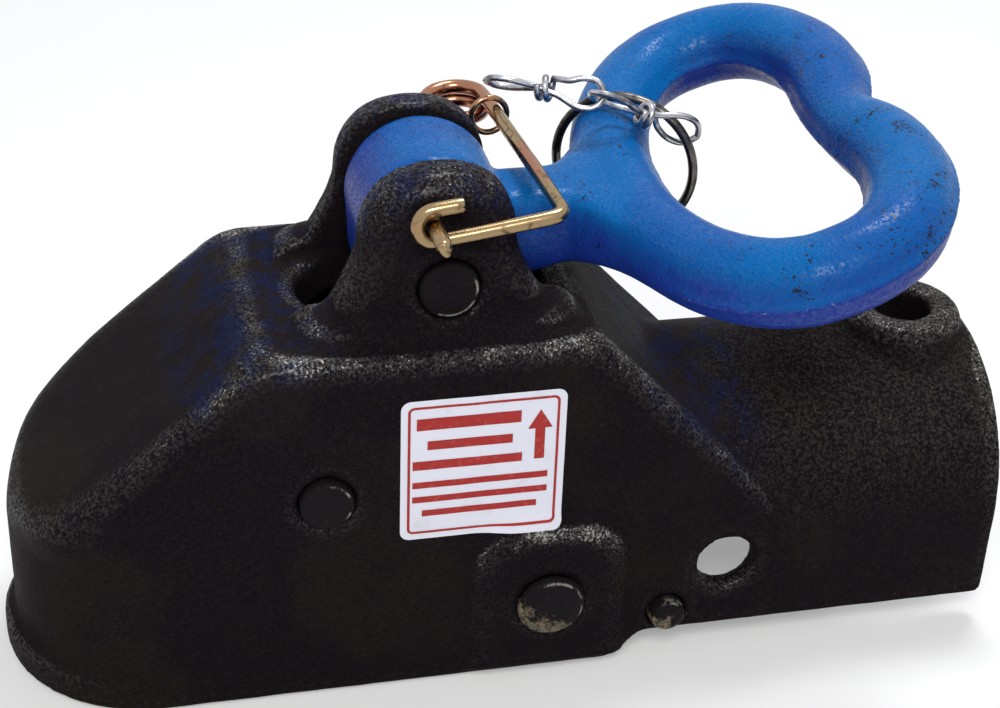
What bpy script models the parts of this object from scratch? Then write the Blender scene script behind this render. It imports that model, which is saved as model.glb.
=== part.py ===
"""Trailer ball coupler: a cast head with a lift handle, a ball clamp, a safety pin and its tether.

Run it in Blender 4.5. Units are metres. x runs back to the drawbar, y across the head and z up.
The origin lies on the ground under the middle of the head's length.
"""
import math

import bmesh
import bpy
from mathutils import Matrix, Vector

MM = 0.001

# Gaps
FIT_GAP = 0.3 * MM            # between pieces that touch or turn in one another
SIDE_GAP = 0.7 * MM           # each side of the handle's hub, between the ears
LOST_MOTION = 1.8 * MM        # play of the link's lower pin in the clamp's tail

# Cast head
HEAD_LENGTH = 290 * MM
HEAD_HALF_WIDTH = 42.5 * MM
HEAD_HEIGHT = 110.5 * MM
TOP_TAPER = 1.2 * MM          # each side, from the shoulder to the top
TOP_FILLET = 5 * MM
NOSE_SLOPE = math.radians(40)
NOSE_ROUND = 20 * MM
NOSE_SHOULDER_HEIGHT = 45.5 * MM
NOSE_CORNER_LENGTH = 12 * MM  # how far the top corners of the nose run back
RIM_HEIGHT = 12 * MM
RIM_PROUD = 3.5 * MM
TOP_FLAT_END = 164 * MM       # behind the nose
REAR_SLOPE = math.radians(46)
ROOF_WALL = 12 * MM
CHANNEL_HALF_WIDTH = 23 * MM
CHAMBER_HALF_WIDTH = 31 * MM   # round the clamp and its spring
CHAMBER_TO_TUBE = 19 * MM

# Collar that takes the drawbar
TUBE_RADIUS = 35 * MM
TUBE_CLEARANCE = 0.4 * MM
COLLAR_WALL = 8.1 * MM
COLLAR_AXIS_HEIGHT = 39.1 * MM
COLLAR_FLOOR_HEIGHT = 9 * MM
COLLAR_FROM_NOSE = 185 * MM
TUBE_DEPTH = 94 * MM
STEP_LENGTH = 12 * MM         # slope between the head's foot and the collar's

# Bolt holes for the drawbar
BOLT_HOLE_RADIUS = 8.5 * MM
CROSS_BOLT_FROM_REAR = 84.1 * MM
CROSS_BOLT_HEIGHT = 31.7 * MM
TOP_BOLT_FROM_REAR = 21 * MM
BOSS_RADIUS = 17.5 * MM
BOSS_HEIGHT = 6.5 * MM          # over the collar's crown

# Ears and the handle's pivot
PIVOT_FROM_NOSE = 124 * MM
PIVOT_OVER_TOP = 13 * MM
PIVOT_PIN_RADIUS = 8.2 * MM
EAR_GAP_HALF = 16.3 * MM
EAR_THICKNESS = 13.7 * MM
EAR_CROWN_OVER_PIVOT = 32.5 * MM
EAR_SHOULDER_OVER_PIVOT = 10 * MM  # where the round crown meets the sloping sides
EAR_HALF_LENGTH = 21.5 * MM   # at that shoulder
EAR_LEAN = 2 * MM             # how far the crown stands ahead of the pivot
EAR_FLARE = 13 * MM           # from the shoulder down to the foot
EAR_EDGE = 7.5 * MM
EAR_FOOT = 5 * MM
SLOT_FRONT = 37 * MM          # ahead of the pivot
SLOT_REAR = 31.5 * MM         # behind the pivot

# Handle
HUB_RADIUS = 20.8 * MM
HUB_CROWN_OVER_PIVOT = 30.8 * MM
HUB_EDGE = 3.5 * MM
TOE_HALF_WIDTH = 6.5 * MM
TOE_RADIUS = 9 * MM
NECK_HALF_WIDTH = 12 * MM
NECK_DEPTH = 27 * MM
NECK_TOP_OVER_PIVOT = 16.2 * MM
NECK_ROOT_HALF_WIDTH = 46 * MM  # where it runs into the loop
BAR_RADIUS = 11.7 * MM
BAR_WAIST = 0.2               # how much thinner the bar is at the rear dent
BAR_RIDGE = 0.7 * MM
LOOP_CENTRE_FROM_PIVOT = 91 * MM
LOOP_HALF_WIDTH = 68.5 * MM   # to the bar's middle, as are the next two
LOOP_REAR_REACH = 33 * MM
LOOP_FRONT_REACH = 35.5 * MM
REAR_DENT = 6.7 * MM
REAR_DENT_WIDTH = 22 * MM
LOOP_SLOPE = math.radians(19)
LOOP_UNDER_PIVOT = 12.5 * MM  # where the loop's plane passes under the pivot
HANDLE_TRAVEL = math.radians(50)

# Safety pin
WIRE_RADIUS = 2 * MM
LOCK_HOLE_CLEARANCE = 0.35 * MM
LOCK_HOLE_FROM_PIVOT = (-5.5 * MM, 22.7 * MM)
LEG_TIP_PROUD = 19 * MM       # past the near ear
LEG_TAIL_PROUD = 3.3 * MM     # past the far ear
COIL_RADIUS = 8.7 * MM
COIL_TURNS = 1.5
COIL_PITCH = 4.4 * MM
COIL_OFFSET = (21 * MM, 14 * MM, -8.1 * MM)  # its lower end, from the leg's axis and the far ear's face
HOOK_RADIUS = 4.7 * MM
HOOK_FROM_EAR = 6 * MM
SPRING_ARM_REACH = 34.5 * MM

# Cross pins of the head
CLAMP_PIN_FROM_PIVOT = -34.8 * MM
CLAMP_PIN_RISE = 0.45734      # its share of the way up from the ball to the roof
CLAMP_PIN_RADIUS = 7.5 * MM
GUIDE_PIN_FROM_NOSE = 152.4 * MM
GUIDE_PIN_HEIGHT = 27.3 * MM
GUIDE_PIN_RADIUS = 8 * MM
GUIDE_PIN_HEAD_RADIUS = 9.8 * MM
STOP_PIN_FROM_NOSE = 188.8 * MM
STOP_PIN_HEIGHT = 15.9 * MM
STOP_PIN_RADIUS = 5.5 * MM
PIN_HEAD_PROUD = 3.5 * MM
CLAMP_PIN_PROUD = 1.2 * MM
STOP_PIN_PROUD = 2.5 * MM
GUIDE_PAD_THICKNESS = 3.6 * MM
GUIDE_PAD_HALF_WIDTH = 20.5 * MM
GUIDE_PAD_OVER_PIN = 23.5 * MM
GUIDE_PAD_EDGE = 4 * MM

# Ball and clamp
BALL_RADIUS = 25 * MM
BALL_HEIGHT = 14.5 * MM
BALL_CLEARANCE = 0.4 * MM
CLAMP_HALF_WIDTH = 20 * MM
CLAMP_EYE_RADIUS = 13 * MM
CLAMP_BACK = 22 * MM          # from the ball's rear face to the clamp's back
CLAMP_FOOT_HEIGHT = 6.5 * MM

# Link between the handle's toe and the clamp's tail
TOE_PIN_FROM_PIVOT = (8 * MM, -22 * MM)
TAIL_PIN_FROM_PIVOT = 6 * MM
TAIL_OVER_SPRING = 1.4 * MM
LINK_PIN_RADIUS = 4 * MM
LINK_PIN_HEAD = 1.6 * MM
LINK_PLATE = 4 * MM
LINK_RADIUS = 8 * MM
TAIL_RADIUS = 9.6 * MM

# Spring and its guide rod
ROD_RADIUS = 4 * MM
ROD_PLAY = 1 * MM
ROD_UNDER_PIN = 6.6 * MM
ROD_WAY_RISE = 0.34           # the rod's way climbs towards the ball, as the clamp tilts on the rod
ROD_EYE_RADIUS = 12 * MM
ROD_EYE_HALF_WIDTH = 9 * MM
SPRING_WIRE_RADIUS = 1.2 * MM
SPRING_RADIUS = 6.6 * MM      # to the wire's middle
SPRING_TURNS = 8

# Tether
COIL_RING_RADIUS = 5.4 * MM
COIL_RING_WIRE = 0.9 * MM
COIL_RING_FROM_COIL = 11.6 * MM
NECK_RING_RADIUS = 21 * MM
NECK_RING_WIRE = 1.4 * MM
NECK_RING_GAP = 0.45 * MM      # to the bar it hangs on
NECK_RING_YAW = math.radians(16)
NECK_RING_SWING = math.radians(43)
CHAIN_WIRE = 0.95 * MM
CHAIN_SLACK = 2 * MM
CHAIN_JOINT_FROM_LOOP = (-39 * MM, 21 * MM, 24.095 * MM)  # from its centre, and over its plane
CHAIN_END_FROM_PIVOT = (22.5 * MM, 30 * MM)
LINK_LOOP_HALF_WIDTH = 4.4 * MM
LINK_WAIST = 1.1 * MM

# Worked-out places
NOSE_X = -HEAD_LENGTH / 2
REAR_X = HEAD_LENGTH / 2
PIVOT = Vector((NOSE_X + PIVOT_FROM_NOSE, 0, HEAD_HEIGHT + PIVOT_OVER_TOP))
EAR_FACE = EAR_GAP_HALF + EAR_THICKNESS
COLLAR_RADIUS = TUBE_RADIUS + TUBE_CLEARANCE + COLLAR_WALL
BALL_CENTRE = Vector((NOSE_X + HEAD_HALF_WIDTH, 0, BALL_HEIGHT))
SOCKET_RADIUS = BALL_RADIUS + BALL_CLEARANCE


def from_pivot(offset, y=0.0):
    """A point given by its x and z offset from the handle's pivot."""
    return PIVOT + Vector((offset[0], y, offset[1]))


ROOF = HEAD_HEIGHT - ROOF_WALL
BALL_TOP = BALL_HEIGHT + SOCKET_RADIUS
ROD_HEIGHT = GUIDE_PIN_HEIGHT - ROD_UNDER_PIN
SPRING_TOP = ROD_HEIGHT + SPRING_RADIUS + SPRING_WIRE_RADIUS
CLAMP_PIN = Vector((PIVOT.x + CLAMP_PIN_FROM_PIVOT, 0, BALL_TOP + CLAMP_PIN_RISE * (ROOF - BALL_TOP)))
TAIL_PIN = Vector((PIVOT.x + TAIL_PIN_FROM_PIVOT, 0, SPRING_TOP + TAIL_OVER_SPRING + TAIL_RADIUS))
TOE_PIN = from_pivot(TOE_PIN_FROM_PIVOT)
LOCK_AXIS = from_pivot(LOCK_HOLE_FROM_PIVOT)
GUIDE_PIN = Vector((NOSE_X + GUIDE_PIN_FROM_NOSE, 0, GUIDE_PIN_HEIGHT))
STOP_PIN = Vector((NOSE_X + STOP_PIN_FROM_NOSE, 0, STOP_PIN_HEIGHT))
CROSS_BOLT = Vector((REAR_X - CROSS_BOLT_FROM_REAR, 0, CROSS_BOLT_HEIGHT))
TOP_BOLT = Vector((REAR_X - TOP_BOLT_FROM_REAR, 0, COLLAR_AXIS_HEIGHT + COLLAR_RADIUS))
CLAMP_BACK_X = BALL_CENTRE.x + BALL_RADIUS + CLAMP_BACK


def clear_scene():
    for item in list(bpy.data.objects):
        bpy.data.objects.remove(item, do_unlink=True)


def make_material(name, colour, roughness, metallic):
    material = bpy.data.materials.new(name)
    material.use_nodes = True
    shader = material.node_tree.nodes["Principled BSDF"]
    shader.inputs["Base Color"].default_value = (*colour, 1.0)
    shader.inputs["Roughness"].default_value = roughness
    shader.inputs["Metallic"].default_value = metallic
    return material


def add_mesh(name, bm, material=None, smooth_angle=35):
    """Turn a bmesh in world coordinates into an object with smooth round faces."""
    bmesh.ops.recalc_face_normals(bm, faces=bm.faces)
    mesh = bpy.data.meshes.new(name)
    bm.to_mesh(mesh)
    bm.free()
    mesh.shade_smooth()
    mesh.set_sharp_from_angle(angle=math.radians(smooth_angle))
    item = bpy.data.objects.new(name, mesh)
    bpy.context.scene.collection.objects.link(item)
    if material:
        mesh.materials.append(material)
    return item


def set_origin(item, point):
    """Move an object's origin to a point, such as its joint's axis, and leave its shape."""
    item.data.transform(Matrix.Translation(-Vector(point)))
    item.location = point


def loft(name, sections, material=None, closed=False):
    """Skin a row of equal rings of points. The ends are capped unless the row is closed."""
    bm = bmesh.new()
    rings = [[bm.verts.new(point) for point in section] for section in sections]
    pairs = list(zip(rings, rings[1:]))
    if closed:
        pairs.append((rings[-1], rings[0]))
    for ring, following in pairs:
        for i in range(len(ring)):
            j = (i + 1) % len(ring)
            bm.faces.new((ring[i], ring[j], following[j], following[i]))
    if not closed:
        bm.faces.new(rings[0])
        bm.faces.new(rings[-1])
    return add_mesh(name, bm, material)


def prism(name, outline, low, high, axis="Y", material=None):
    """Extrude an outline: of x and z along Y, of y and z along X, or of x and y along Z."""
    place = {
        "Y": lambda a, b, depth: (a, depth, b),
        "X": lambda a, b, depth: (depth, a, b),
        "Z": lambda a, b, depth: (a, b, depth),
    }[axis]
    sections = [[place(a, b, depth) for a, b in outline] for depth in (low, high)]
    return loft(name, sections, material)


def turned(name, profile, origin, axis="Z", segments=40, material=None):
    """Turn a profile of (radius, height) about an axis through origin."""
    turn = {"Z": Matrix(), "Y": Matrix.Rotation(math.radians(-90), 4, "X")}[axis]
    bm = bmesh.new()
    rings = []
    for radius, height in profile:
        ring = []
        for i in range(segments):
            angle = 2 * math.pi * i / segments
            point = Vector((radius * math.cos(angle), radius * math.sin(angle), height))
            ring.append(bm.verts.new(turn @ point + Vector(origin)))
        rings.append(ring)
    for ring, following in zip(rings, rings[1:]):
        for i in range(segments):
            j = (i + 1) % segments
            bm.faces.new((ring[i], ring[j], following[j], following[i]))
    bm.faces.new(rings[0])
    bm.faces.new(rings[-1])
    return add_mesh(name, bm, material)


def cross_cylinder(name, centre, radius, half_length, segments=32):
    """A plain cylinder along Y, used as a drilling."""
    profile = [(radius, -half_length), (radius, half_length)]
    return turned(name, profile, centre, "Y", segments)


def wire(name, points, radius, material, cyclic=False, resolution=3):
    """A round wire: a curve with a bevel and filled caps."""
    curve = bpy.data.curves.new(name, "CURVE")
    curve.dimensions = "3D"
    curve.bevel_depth = radius
    curve.bevel_resolution = resolution
    curve.use_fill_caps = True
    spline = curve.splines.new("POLY")
    spline.points.add(len(points) - 1)
    for target, point in zip(spline.points, points):
        target.co = (*point, 1.0)
    spline.use_cyclic_u = cyclic
    spline.use_smooth = True
    curve.materials.append(material)
    item = bpy.data.objects.new(name, curve)
    bpy.context.scene.collection.objects.link(item)
    return item


def rounded_route(points, radius, steps=4):
    """A polyline whose inner corners are rounded off."""
    points = [Vector(point) for point in points]
    route = [points[0]]
    for before, corner, after in zip(points, points[1:], points[2:]):
        reach_in = min(radius, (corner - before).length * 0.45)
        reach_out = min(radius, (after - corner).length * 0.45)
        start = corner + (before - corner).normalized() * reach_in
        end = corner + (after - corner).normalized() * reach_out
        for i in range(steps + 1):
            t = i / steps
            route.append(start * (1 - t) ** 2 + corner * 2 * t * (1 - t) + end * t ** 2)
    route.append(points[-1])
    return route


def arc(centre, radius, start, end, steps):
    """Points on an arc of x and z. The angles are in degrees."""
    points = []
    for i in range(steps + 1):
        angle = math.radians(start + (end - start) * i / steps)
        points.append((centre[0] + radius * math.cos(angle), centre[1] + radius * math.sin(angle)))
    return points


def as_guide(item):
    item.hide_render = True
    item.display_type = "WIRE"
    return item


def combine(target, operand, operation):
    modifier = target.modifiers.new(operation.title(), "BOOLEAN")
    modifier.operation = operation
    modifier.solver = "EXACT"
    modifier.object = as_guide(operand)


def join(target, operand):
    combine(target, operand, "UNION")


def cut(target, operand):
    combine(target, operand, "DIFFERENCE")


def smoothstep(low, high, value):
    t = min(max((value - low) / (high - low), 0.0), 1.0)
    return t * t * (3 - 2 * t)


# Cast head

def nose_front(height):
    """Where the nose starts at a height: upright, then a round shoulder, then the slope."""
    front = NOSE_X + RIM_PROUD
    rise = height - NOSE_SHOULDER_HEIGHT
    tangent_rise = NOSE_ROUND * math.cos(NOSE_SLOPE)
    if rise <= 0:
        return front
    if rise <= tangent_rise:
        return front + NOSE_ROUND - math.sqrt(NOSE_ROUND ** 2 - rise ** 2)
    tangent_x = front + NOSE_ROUND * (1 - math.sin(NOSE_SLOPE))
    return tangent_x + (rise - tangent_rise) / math.tan(NOSE_SLOPE)


def head_section(height, inset):
    """The head's outline at a height: a round nose low down that squares up towards the top."""
    blend = smoothstep(NOSE_SHOULDER_HEIGHT, 0.75 * HEAD_HEIGHT, height)
    power = 2.0 / (2.0 + 5.0 * blend)
    low_length = BALL_CENTRE.x - nose_front(0)
    nose_length = low_length + (NOSE_CORNER_LENGTH - low_length) * blend
    taper = TOP_TAPER * smoothstep(NOSE_SHOULDER_HEIGHT, HEAD_HEIGHT, height)
    half_width = HEAD_HALF_WIDTH - taper - inset
    front = nose_front(height) + inset
    slope_foot = COLLAR_AXIS_HEIGHT + COLLAR_RADIUS / 4
    rear = NOSE_X + TOP_FLAT_END - inset
    rear += (HEAD_HEIGHT - max(height, slope_foot)) / math.tan(REAR_SLOPE)
    points = []
    nose_steps = 28
    for i in range(nose_steps + 1):
        angle = math.pi * (i / nose_steps - 0.5)
        along = math.cos(angle) ** power
        across = math.copysign(abs(math.sin(angle)) ** power, angle)
        points.append((front + nose_length * (1 - along), half_width * across, height))
    corner = 5 * MM
    flank_steps = 5
    flank_start = front + nose_length
    flank = [flank_start + (rear - corner - flank_start) * i / flank_steps
             for i in range(1, flank_steps + 1)]
    points += [(x, half_width, height) for x in flank]
    points.append((rear - 0.3 * corner, half_width - 0.3 * corner, height))
    points.append((rear, half_width - corner, height))
    points.append((rear, -half_width + corner, height))
    points.append((rear - 0.3 * corner, -half_width + 0.3 * corner, height))
    points += [(x, -half_width, height) for x in reversed(flank)]
    return points


def head_block():
    """The outer form of the head's box, stacked up from outlines with a rolled top edge."""
    levels = [(0.0, 1.5 * MM), (1.5 * MM, 0.0), (RIM_HEIGHT, 0.0)]
    steps = 16
    start = NOSE_SHOULDER_HEIGHT * 0.8
    end = HEAD_HEIGHT - TOP_FILLET
    levels += [(start + (end - start) * i / steps, 0.0) for i in range(steps + 1)]
    for angle in (30, 60, 90):
        rise = TOP_FILLET * math.sin(math.radians(angle))
        inset = TOP_FILLET * (1 - math.cos(math.radians(angle)))
        levels.append((end + rise, inset))
    return loft("head_block", [head_section(height, inset) for height, inset in levels])


def rim_band():
    """The band round the nose's lower edge, a little proud of it."""
    outline = arc((BALL_CENTRE.x, 0), HEAD_HALF_WIDTH, 90, 270, 28)
    back = BALL_CENTRE.x + BALL_RADIUS
    sections = []
    for height, inset in ((0, 1.5 * MM), (1.5 * MM, 0), (RIM_HEIGHT - 1.5 * MM, 0), (RIM_HEIGHT, 1.5 * MM)):
        shrink = (HEAD_HALF_WIDTH - inset) / HEAD_HALF_WIDTH
        ring = [(BALL_CENTRE.x + (x - BALL_CENTRE.x) * shrink, y * shrink, height) for x, y in outline]
        ring += [(back, -(HEAD_HALF_WIDTH - inset - 0.5 * MM), height)]
        ring += [(back, HEAD_HALF_WIDTH - inset - 0.5 * MM, height)]
        sections.append(ring)
    return loft("rim_band", sections)


def collar_outline(radius, floor):
    """A round crown with straight sides down to a floor, of y and z."""
    points = arc((0, COLLAR_AXIS_HEIGHT), radius, 0, 180, 36)
    return points + [(-radius, floor), (radius, floor)]


def collar():
    """The half-round rear end, squeezed a little so that its sides lie flush with the head's."""
    front = NOSE_X + COLLAR_FROM_NOSE
    squeeze = HEAD_HALF_WIDTH / COLLAR_RADIUS
    edge = 2 * MM
    stations = [(front, 0), (REAR_X - edge, 0), (REAR_X - 0.3 * edge, 0.3 * edge), (REAR_X, edge)]
    sections = []
    for x, inset in stations:
        outline = collar_outline(COLLAR_RADIUS - inset, COLLAR_FLOOR_HEIGHT)
        sections.append([(x, y * squeeze, z) for y, z in outline])
    return loft("collar", sections)


def top_boss():
    """The round boss round the top bolt's hole. It stands on the collar's crown."""
    top = TOP_BOLT.z + BOSS_HEIGHT
    profile = [
        (BOSS_RADIUS - 1.5 * MM, top),
        (BOSS_RADIUS, top - 1.5 * MM),
        (BOSS_RADIUS + 1 * MM, TOP_BOLT.z + 1 * MM),
        (BOSS_RADIUS + 3 * MM, TOP_BOLT.z - 4 * MM),
        (BOSS_RADIUS + 3 * MM, TOP_BOLT.z - COLLAR_WALL / 2 - 4 * MM),
    ]
    return turned("top_boss", profile, (TOP_BOLT.x, 0, 0))


def ear_outline(inset):
    """An ear's side view: a full, round crown on sides that slope out to the foot."""
    half = EAR_HALF_LENGTH - inset
    rise = EAR_CROWN_OVER_PIVOT - EAR_SHOULDER_OVER_PIVOT - inset
    points = []
    for i in range(21):
        angle = math.pi * i / 20
        x = half * math.copysign(abs(math.cos(angle)) ** 0.85, math.cos(angle))
        points.append((x, EAR_SHOULDER_OVER_PIVOT + rise * math.sin(angle) ** 0.85))
    foot = -PIVOT_OVER_TOP - 2 * MM
    flare = []
    for share in (0.25, 0.5, 0.7, 0.85, 1.0):
        height = EAR_SHOULDER_OVER_PIVOT + (foot - EAR_SHOULDER_OVER_PIVOT) * share
        flare.append((half + EAR_FLARE * share ** 1.3, height))
    points += [(-x, z) for x, z in flare]
    points += list(reversed(flare))
    return [(PIVOT.x - EAR_LEAN + x, PIVOT.z + z) for x, z in points]


def ear_block():
    """Both ears in one block. The gap between them is cut later."""
    stations = []
    for angle in (0, 22.5, 45, 67.5, 90):
        inset = EAR_EDGE * (1 - math.sin(math.radians(angle)))
        depth = EAR_FACE - EAR_EDGE * (1 - math.cos(math.radians(angle)))
        stations.append((depth, inset))
    sections = []
    for depth, inset in stations:
        sections.append([(x, -depth, z) for x, z in ear_outline(inset)])
    for depth, inset in reversed(stations):
        sections.append([(x, depth, z) for x, z in ear_outline(inset)])
    return loft("ear_block", sections)


def ear_foot():
    """The low pad that the ears grow from, with a long soft slope."""
    sections = []
    length = EAR_HALF_LENGTH + EAR_FLARE
    for height, spread in ((-3 * MM, 1.0), (0.1 * EAR_FOOT, 1.0), (0.45 * EAR_FOOT, 0.75),
                           (0.75 * EAR_FOOT, 0.4), (0.95 * EAR_FOOT, 0.0), (EAR_FOOT, -0.5)):
        x = length + spread * EAR_FOOT
        y = EAR_FACE + spread * EAR_FOOT
        corner = 12 * MM
        outline = arc((x - corner, y - corner), corner, 0, 90, 4)
        outline += [(-a, b) for a, b in reversed(outline)]
        outline += [(a, -b) for a, b in reversed(outline)]
        sections.append([(PIVOT.x - EAR_LEAN + a, b, HEAD_HEIGHT + height) for a, b in outline])
    return loft("ear_foot", sections)


def guide_pad(side):
    """The soft raised pad on the flank that the guide pin's head sits on."""
    top = GUIDE_PIN.z + GUIDE_PAD_OVER_PIN
    sections = []
    for depth, inset in ((-4 * MM, -1.0), (0.15, -1.0), (0.5, -0.6), (0.8, 0.0), (0.95, 0.6), (1.0, 1.2)):
        y = HEAD_HALF_WIDTH + (depth if depth < 0 else depth * GUIDE_PAD_THICKNESS)
        half = GUIDE_PAD_HALF_WIDTH - inset * GUIDE_PAD_EDGE
        crown = top - inset * GUIDE_PAD_EDGE
        corner = 0.65 * half
        outline = arc((half - corner, crown - corner), corner, 0, 90, 6)
        outline += [(-x, z) for x, z in reversed(outline)]
        outline += [(-half, RIM_HEIGHT / 3), (half, RIM_HEIGHT / 3)]
        sections.append([(GUIDE_PIN.x + x, side * y, z) for x, z in outline])
    return loft("guide_pad", sections)


def underside_step():
    """Cutter that lifts the collar's foot over the head's."""
    start = NOSE_X + COLLAR_FROM_NOSE - STEP_LENGTH * 1.25
    outline = [
        (start, -1 * MM),
        (start + STEP_LENGTH, COLLAR_FLOOR_HEIGHT),
        (REAR_X + 5 * MM, COLLAR_FLOOR_HEIGHT),
        (REAR_X + 5 * MM, -1 * MM),
    ]
    return prism("underside_step", outline, -2 * HEAD_HALF_WIDTH, 2 * HEAD_HALF_WIDTH)


def channel():
    """Cutter for the space behind the ball, along the whole middle."""
    front = BALL_CENTRE.x + 0.6 * SOCKET_RADIUS
    eye_front = CLAMP_PIN.x - CLAMP_EYE_RADIUS - 4 * MM
    tube_end = REAR_X - TUBE_DEPTH
    tube_crown = COLLAR_AXIS_HEIGHT + TUBE_RADIUS
    slope_start = NOSE_X + TOP_FLAT_END - ROOF_WALL / 2
    outline = [
        (front, -10 * MM),
        (front, BALL_CENTRE.z + SOCKET_RADIUS),
        (eye_front, CLAMP_PIN.z + 6 * MM),
        (CLAMP_PIN.x - 2 * MM, ROOF - 5.8 * MM),
        (CLAMP_PIN.x + 6 * MM, ROOF),
        (slope_start, ROOF),
        (tube_end + 4 * MM, tube_crown - 4 * MM),
        (tube_end + 4 * MM, -10 * MM),
    ]
    return prism("channel", outline, -CHANNEL_HALF_WIDTH, CHANNEL_HALF_WIDTH)


def chamber():
    """Cutter for the wider room round the clamp, its link and its spring."""
    front = CLAMP_PIN.x - CLAMP_EYE_RADIUS - 3 * MM
    rear = REAR_X - TUBE_DEPTH - CHAMBER_TO_TUBE
    outline = [
        (front, -10 * MM),
        (front, CLAMP_PIN.z + 5 * MM),
        (CLAMP_PIN.x, ROOF - 7.8 * MM),
        (CLAMP_PIN.x + 10 * MM, ROOF - 2 * MM),
        (NOSE_X + TOP_FLAT_END - ROOF_WALL, ROOF - 2 * MM),
        (rear, ROOF - 12 * MM),
        (rear, -10 * MM),
    ]
    return prism("chamber", outline, -CHAMBER_HALF_WIDTH, CHAMBER_HALF_WIDTH)


def ball_socket():
    """Cutter for the ball: a half sphere that runs down to a flared mouth."""
    profile = [(SOCKET_RADIUS + 4 * MM, -2 * MM), (SOCKET_RADIUS, 3 * MM)]
    for angle in range(0, 86, 6):
        turn = math.radians(angle)
        profile.append((SOCKET_RADIUS * math.cos(turn), BALL_HEIGHT + SOCKET_RADIUS * math.sin(turn)))
    return turned("ball_socket", profile, (BALL_CENTRE.x, 0, 0), segments=44)


def tube_bore():
    """Cutter for the drawbar's seat, open below."""
    outline = collar_outline(TUBE_RADIUS + TUBE_CLEARANCE, -5 * MM)
    return prism("tube_bore", outline, REAR_X - TUBE_DEPTH, REAR_X + 5 * MM, "X")


def top_slot():
    """Cutter for the slot in the top that the handle's toe and link work in."""
    front = PIVOT.x - SLOT_FRONT + EAR_GAP_HALF
    outline = arc((front, 0), EAR_GAP_HALF, 90, 270, 16)
    outline += [(PIVOT.x + SLOT_REAR, -EAR_GAP_HALF), (PIVOT.x + SLOT_REAR, EAR_GAP_HALF)]
    return prism("top_slot", outline, ROOF - 6 * MM, HEAD_HEIGHT + 2 * MM, "Z")


def ear_gap():
    """Cutter for the gap between the ears."""
    reach = EAR_LEAN + EAR_HALF_LENGTH + EAR_FLARE + 3 * EAR_FOOT
    outline = [
        (PIVOT.x - reach, HEAD_HEIGHT - 0.2 * MM),
        (PIVOT.x + reach, HEAD_HEIGHT - 0.2 * MM),
        (PIVOT.x + reach, PIVOT.z + 2 * EAR_CROWN_OVER_PIVOT),
        (PIVOT.x - reach, PIVOT.z + 2 * EAR_CROWN_OVER_PIVOT),
    ]
    return prism("ear_gap", outline, -EAR_GAP_HALF, EAR_GAP_HALF)


def coupler_body(iron):
    """The iron casting that carries everything else."""
    body = head_block()
    body.name = "coupler_body"
    body.data.materials.append(iron)
    for piece in (collar(), rim_band(), ear_foot(), ear_block(), guide_pad(-1), guide_pad(1), top_boss()):
        join(body, piece)
    for piece in (underside_step(), channel(), chamber(), tube_bore(), ball_socket(), top_slot(), ear_gap()):
        cut(body, piece)
    through = 2 * HEAD_HALF_WIDTH
    drillings = (
        ("pivot_drilling", PIVOT, PIVOT_PIN_RADIUS + FIT_GAP),
        ("lock_drilling", LOCK_AXIS, WIRE_RADIUS + LOCK_HOLE_CLEARANCE),
        ("clamp_pin_drilling", CLAMP_PIN, CLAMP_PIN_RADIUS + FIT_GAP),
        ("guide_pin_drilling", GUIDE_PIN, GUIDE_PIN_RADIUS + FIT_GAP),
        ("stop_pin_drilling", STOP_PIN, STOP_PIN_RADIUS + FIT_GAP),
        ("cross_bolt_drilling", CROSS_BOLT, BOLT_HOLE_RADIUS),
    )
    for name, centre, radius in drillings:
        segments = 16 if radius < 4 * MM else 32
        cut(body, cross_cylinder(name, centre, radius, through, segments))
    top_profile = [(BOLT_HOLE_RADIUS, COLLAR_AXIS_HEIGHT), (BOLT_HOLE_RADIUS, TOP_BOLT.z + 2 * BOSS_HEIGHT)]
    cut(body, turned("top_bolt_drilling", top_profile, (TOP_BOLT.x, 0, 0), segments=32))
    return body


def headed_pin(name, centre, radius, face, proud, material, head_radius=None):
    """A cross pin that reaches past both faces, with domed ends or flat domed heads."""
    head = head_radius or radius
    seat = face + FIT_GAP
    crown = seat + proud
    half = [(0.55 * head, crown), (0.86 * head, crown - 0.25 * proud), (head, crown - 0.65 * proud)]
    if head > radius:
        half += [(head, seat), (radius, seat)]
    profile = [(r, -h) for r, h in half] + [(r, h) for r, h in reversed(half)]
    return turned(name, profile, centre, "Y", 32, material)


# Handle

def loop_point(angle):
    """A point on the bar's middle line: an oval, squarer and dented at the rear, that slopes up."""
    to_rear = math.cos(angle) > 0
    half_length = LOOP_REAR_REACH if to_rear else LOOP_FRONT_REACH
    power = 2.6 if to_rear else 2.0
    across = abs(math.sin(angle)) / LOOP_HALF_WIDTH
    along = abs(math.cos(angle)) / half_length
    reach = (across ** power + along ** power) ** (-1 / power)
    y = reach * math.sin(angle)
    x = LOOP_CENTRE_FROM_PIVOT + reach * math.cos(angle)
    if to_rear:
        x -= REAR_DENT * math.exp(-(y / REAR_DENT_WIDTH) ** 2)
    return PIVOT + Vector((x, y, x * math.tan(LOOP_SLOPE) - LOOP_UNDER_PIVOT))


def bar_section(centre, outward, upward, radius):
    """The bar's section: round, with a low ridge along its parting line."""
    points = []
    ridge = math.radians(7)
    angles = [0, ridge] + [math.pi * i / 8 for i in range(1, 8)] + [math.pi - ridge]
    angles += [angle + math.pi for angle in angles]
    for angle in angles:
        on_ridge = abs(math.sin(angle)) < 1e-6
        reach = radius + (BAR_RIDGE if on_ridge else 0.0)
        points.append(centre + outward * (reach * math.cos(angle)) + upward * (reach * math.sin(angle)))
    return points


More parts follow.
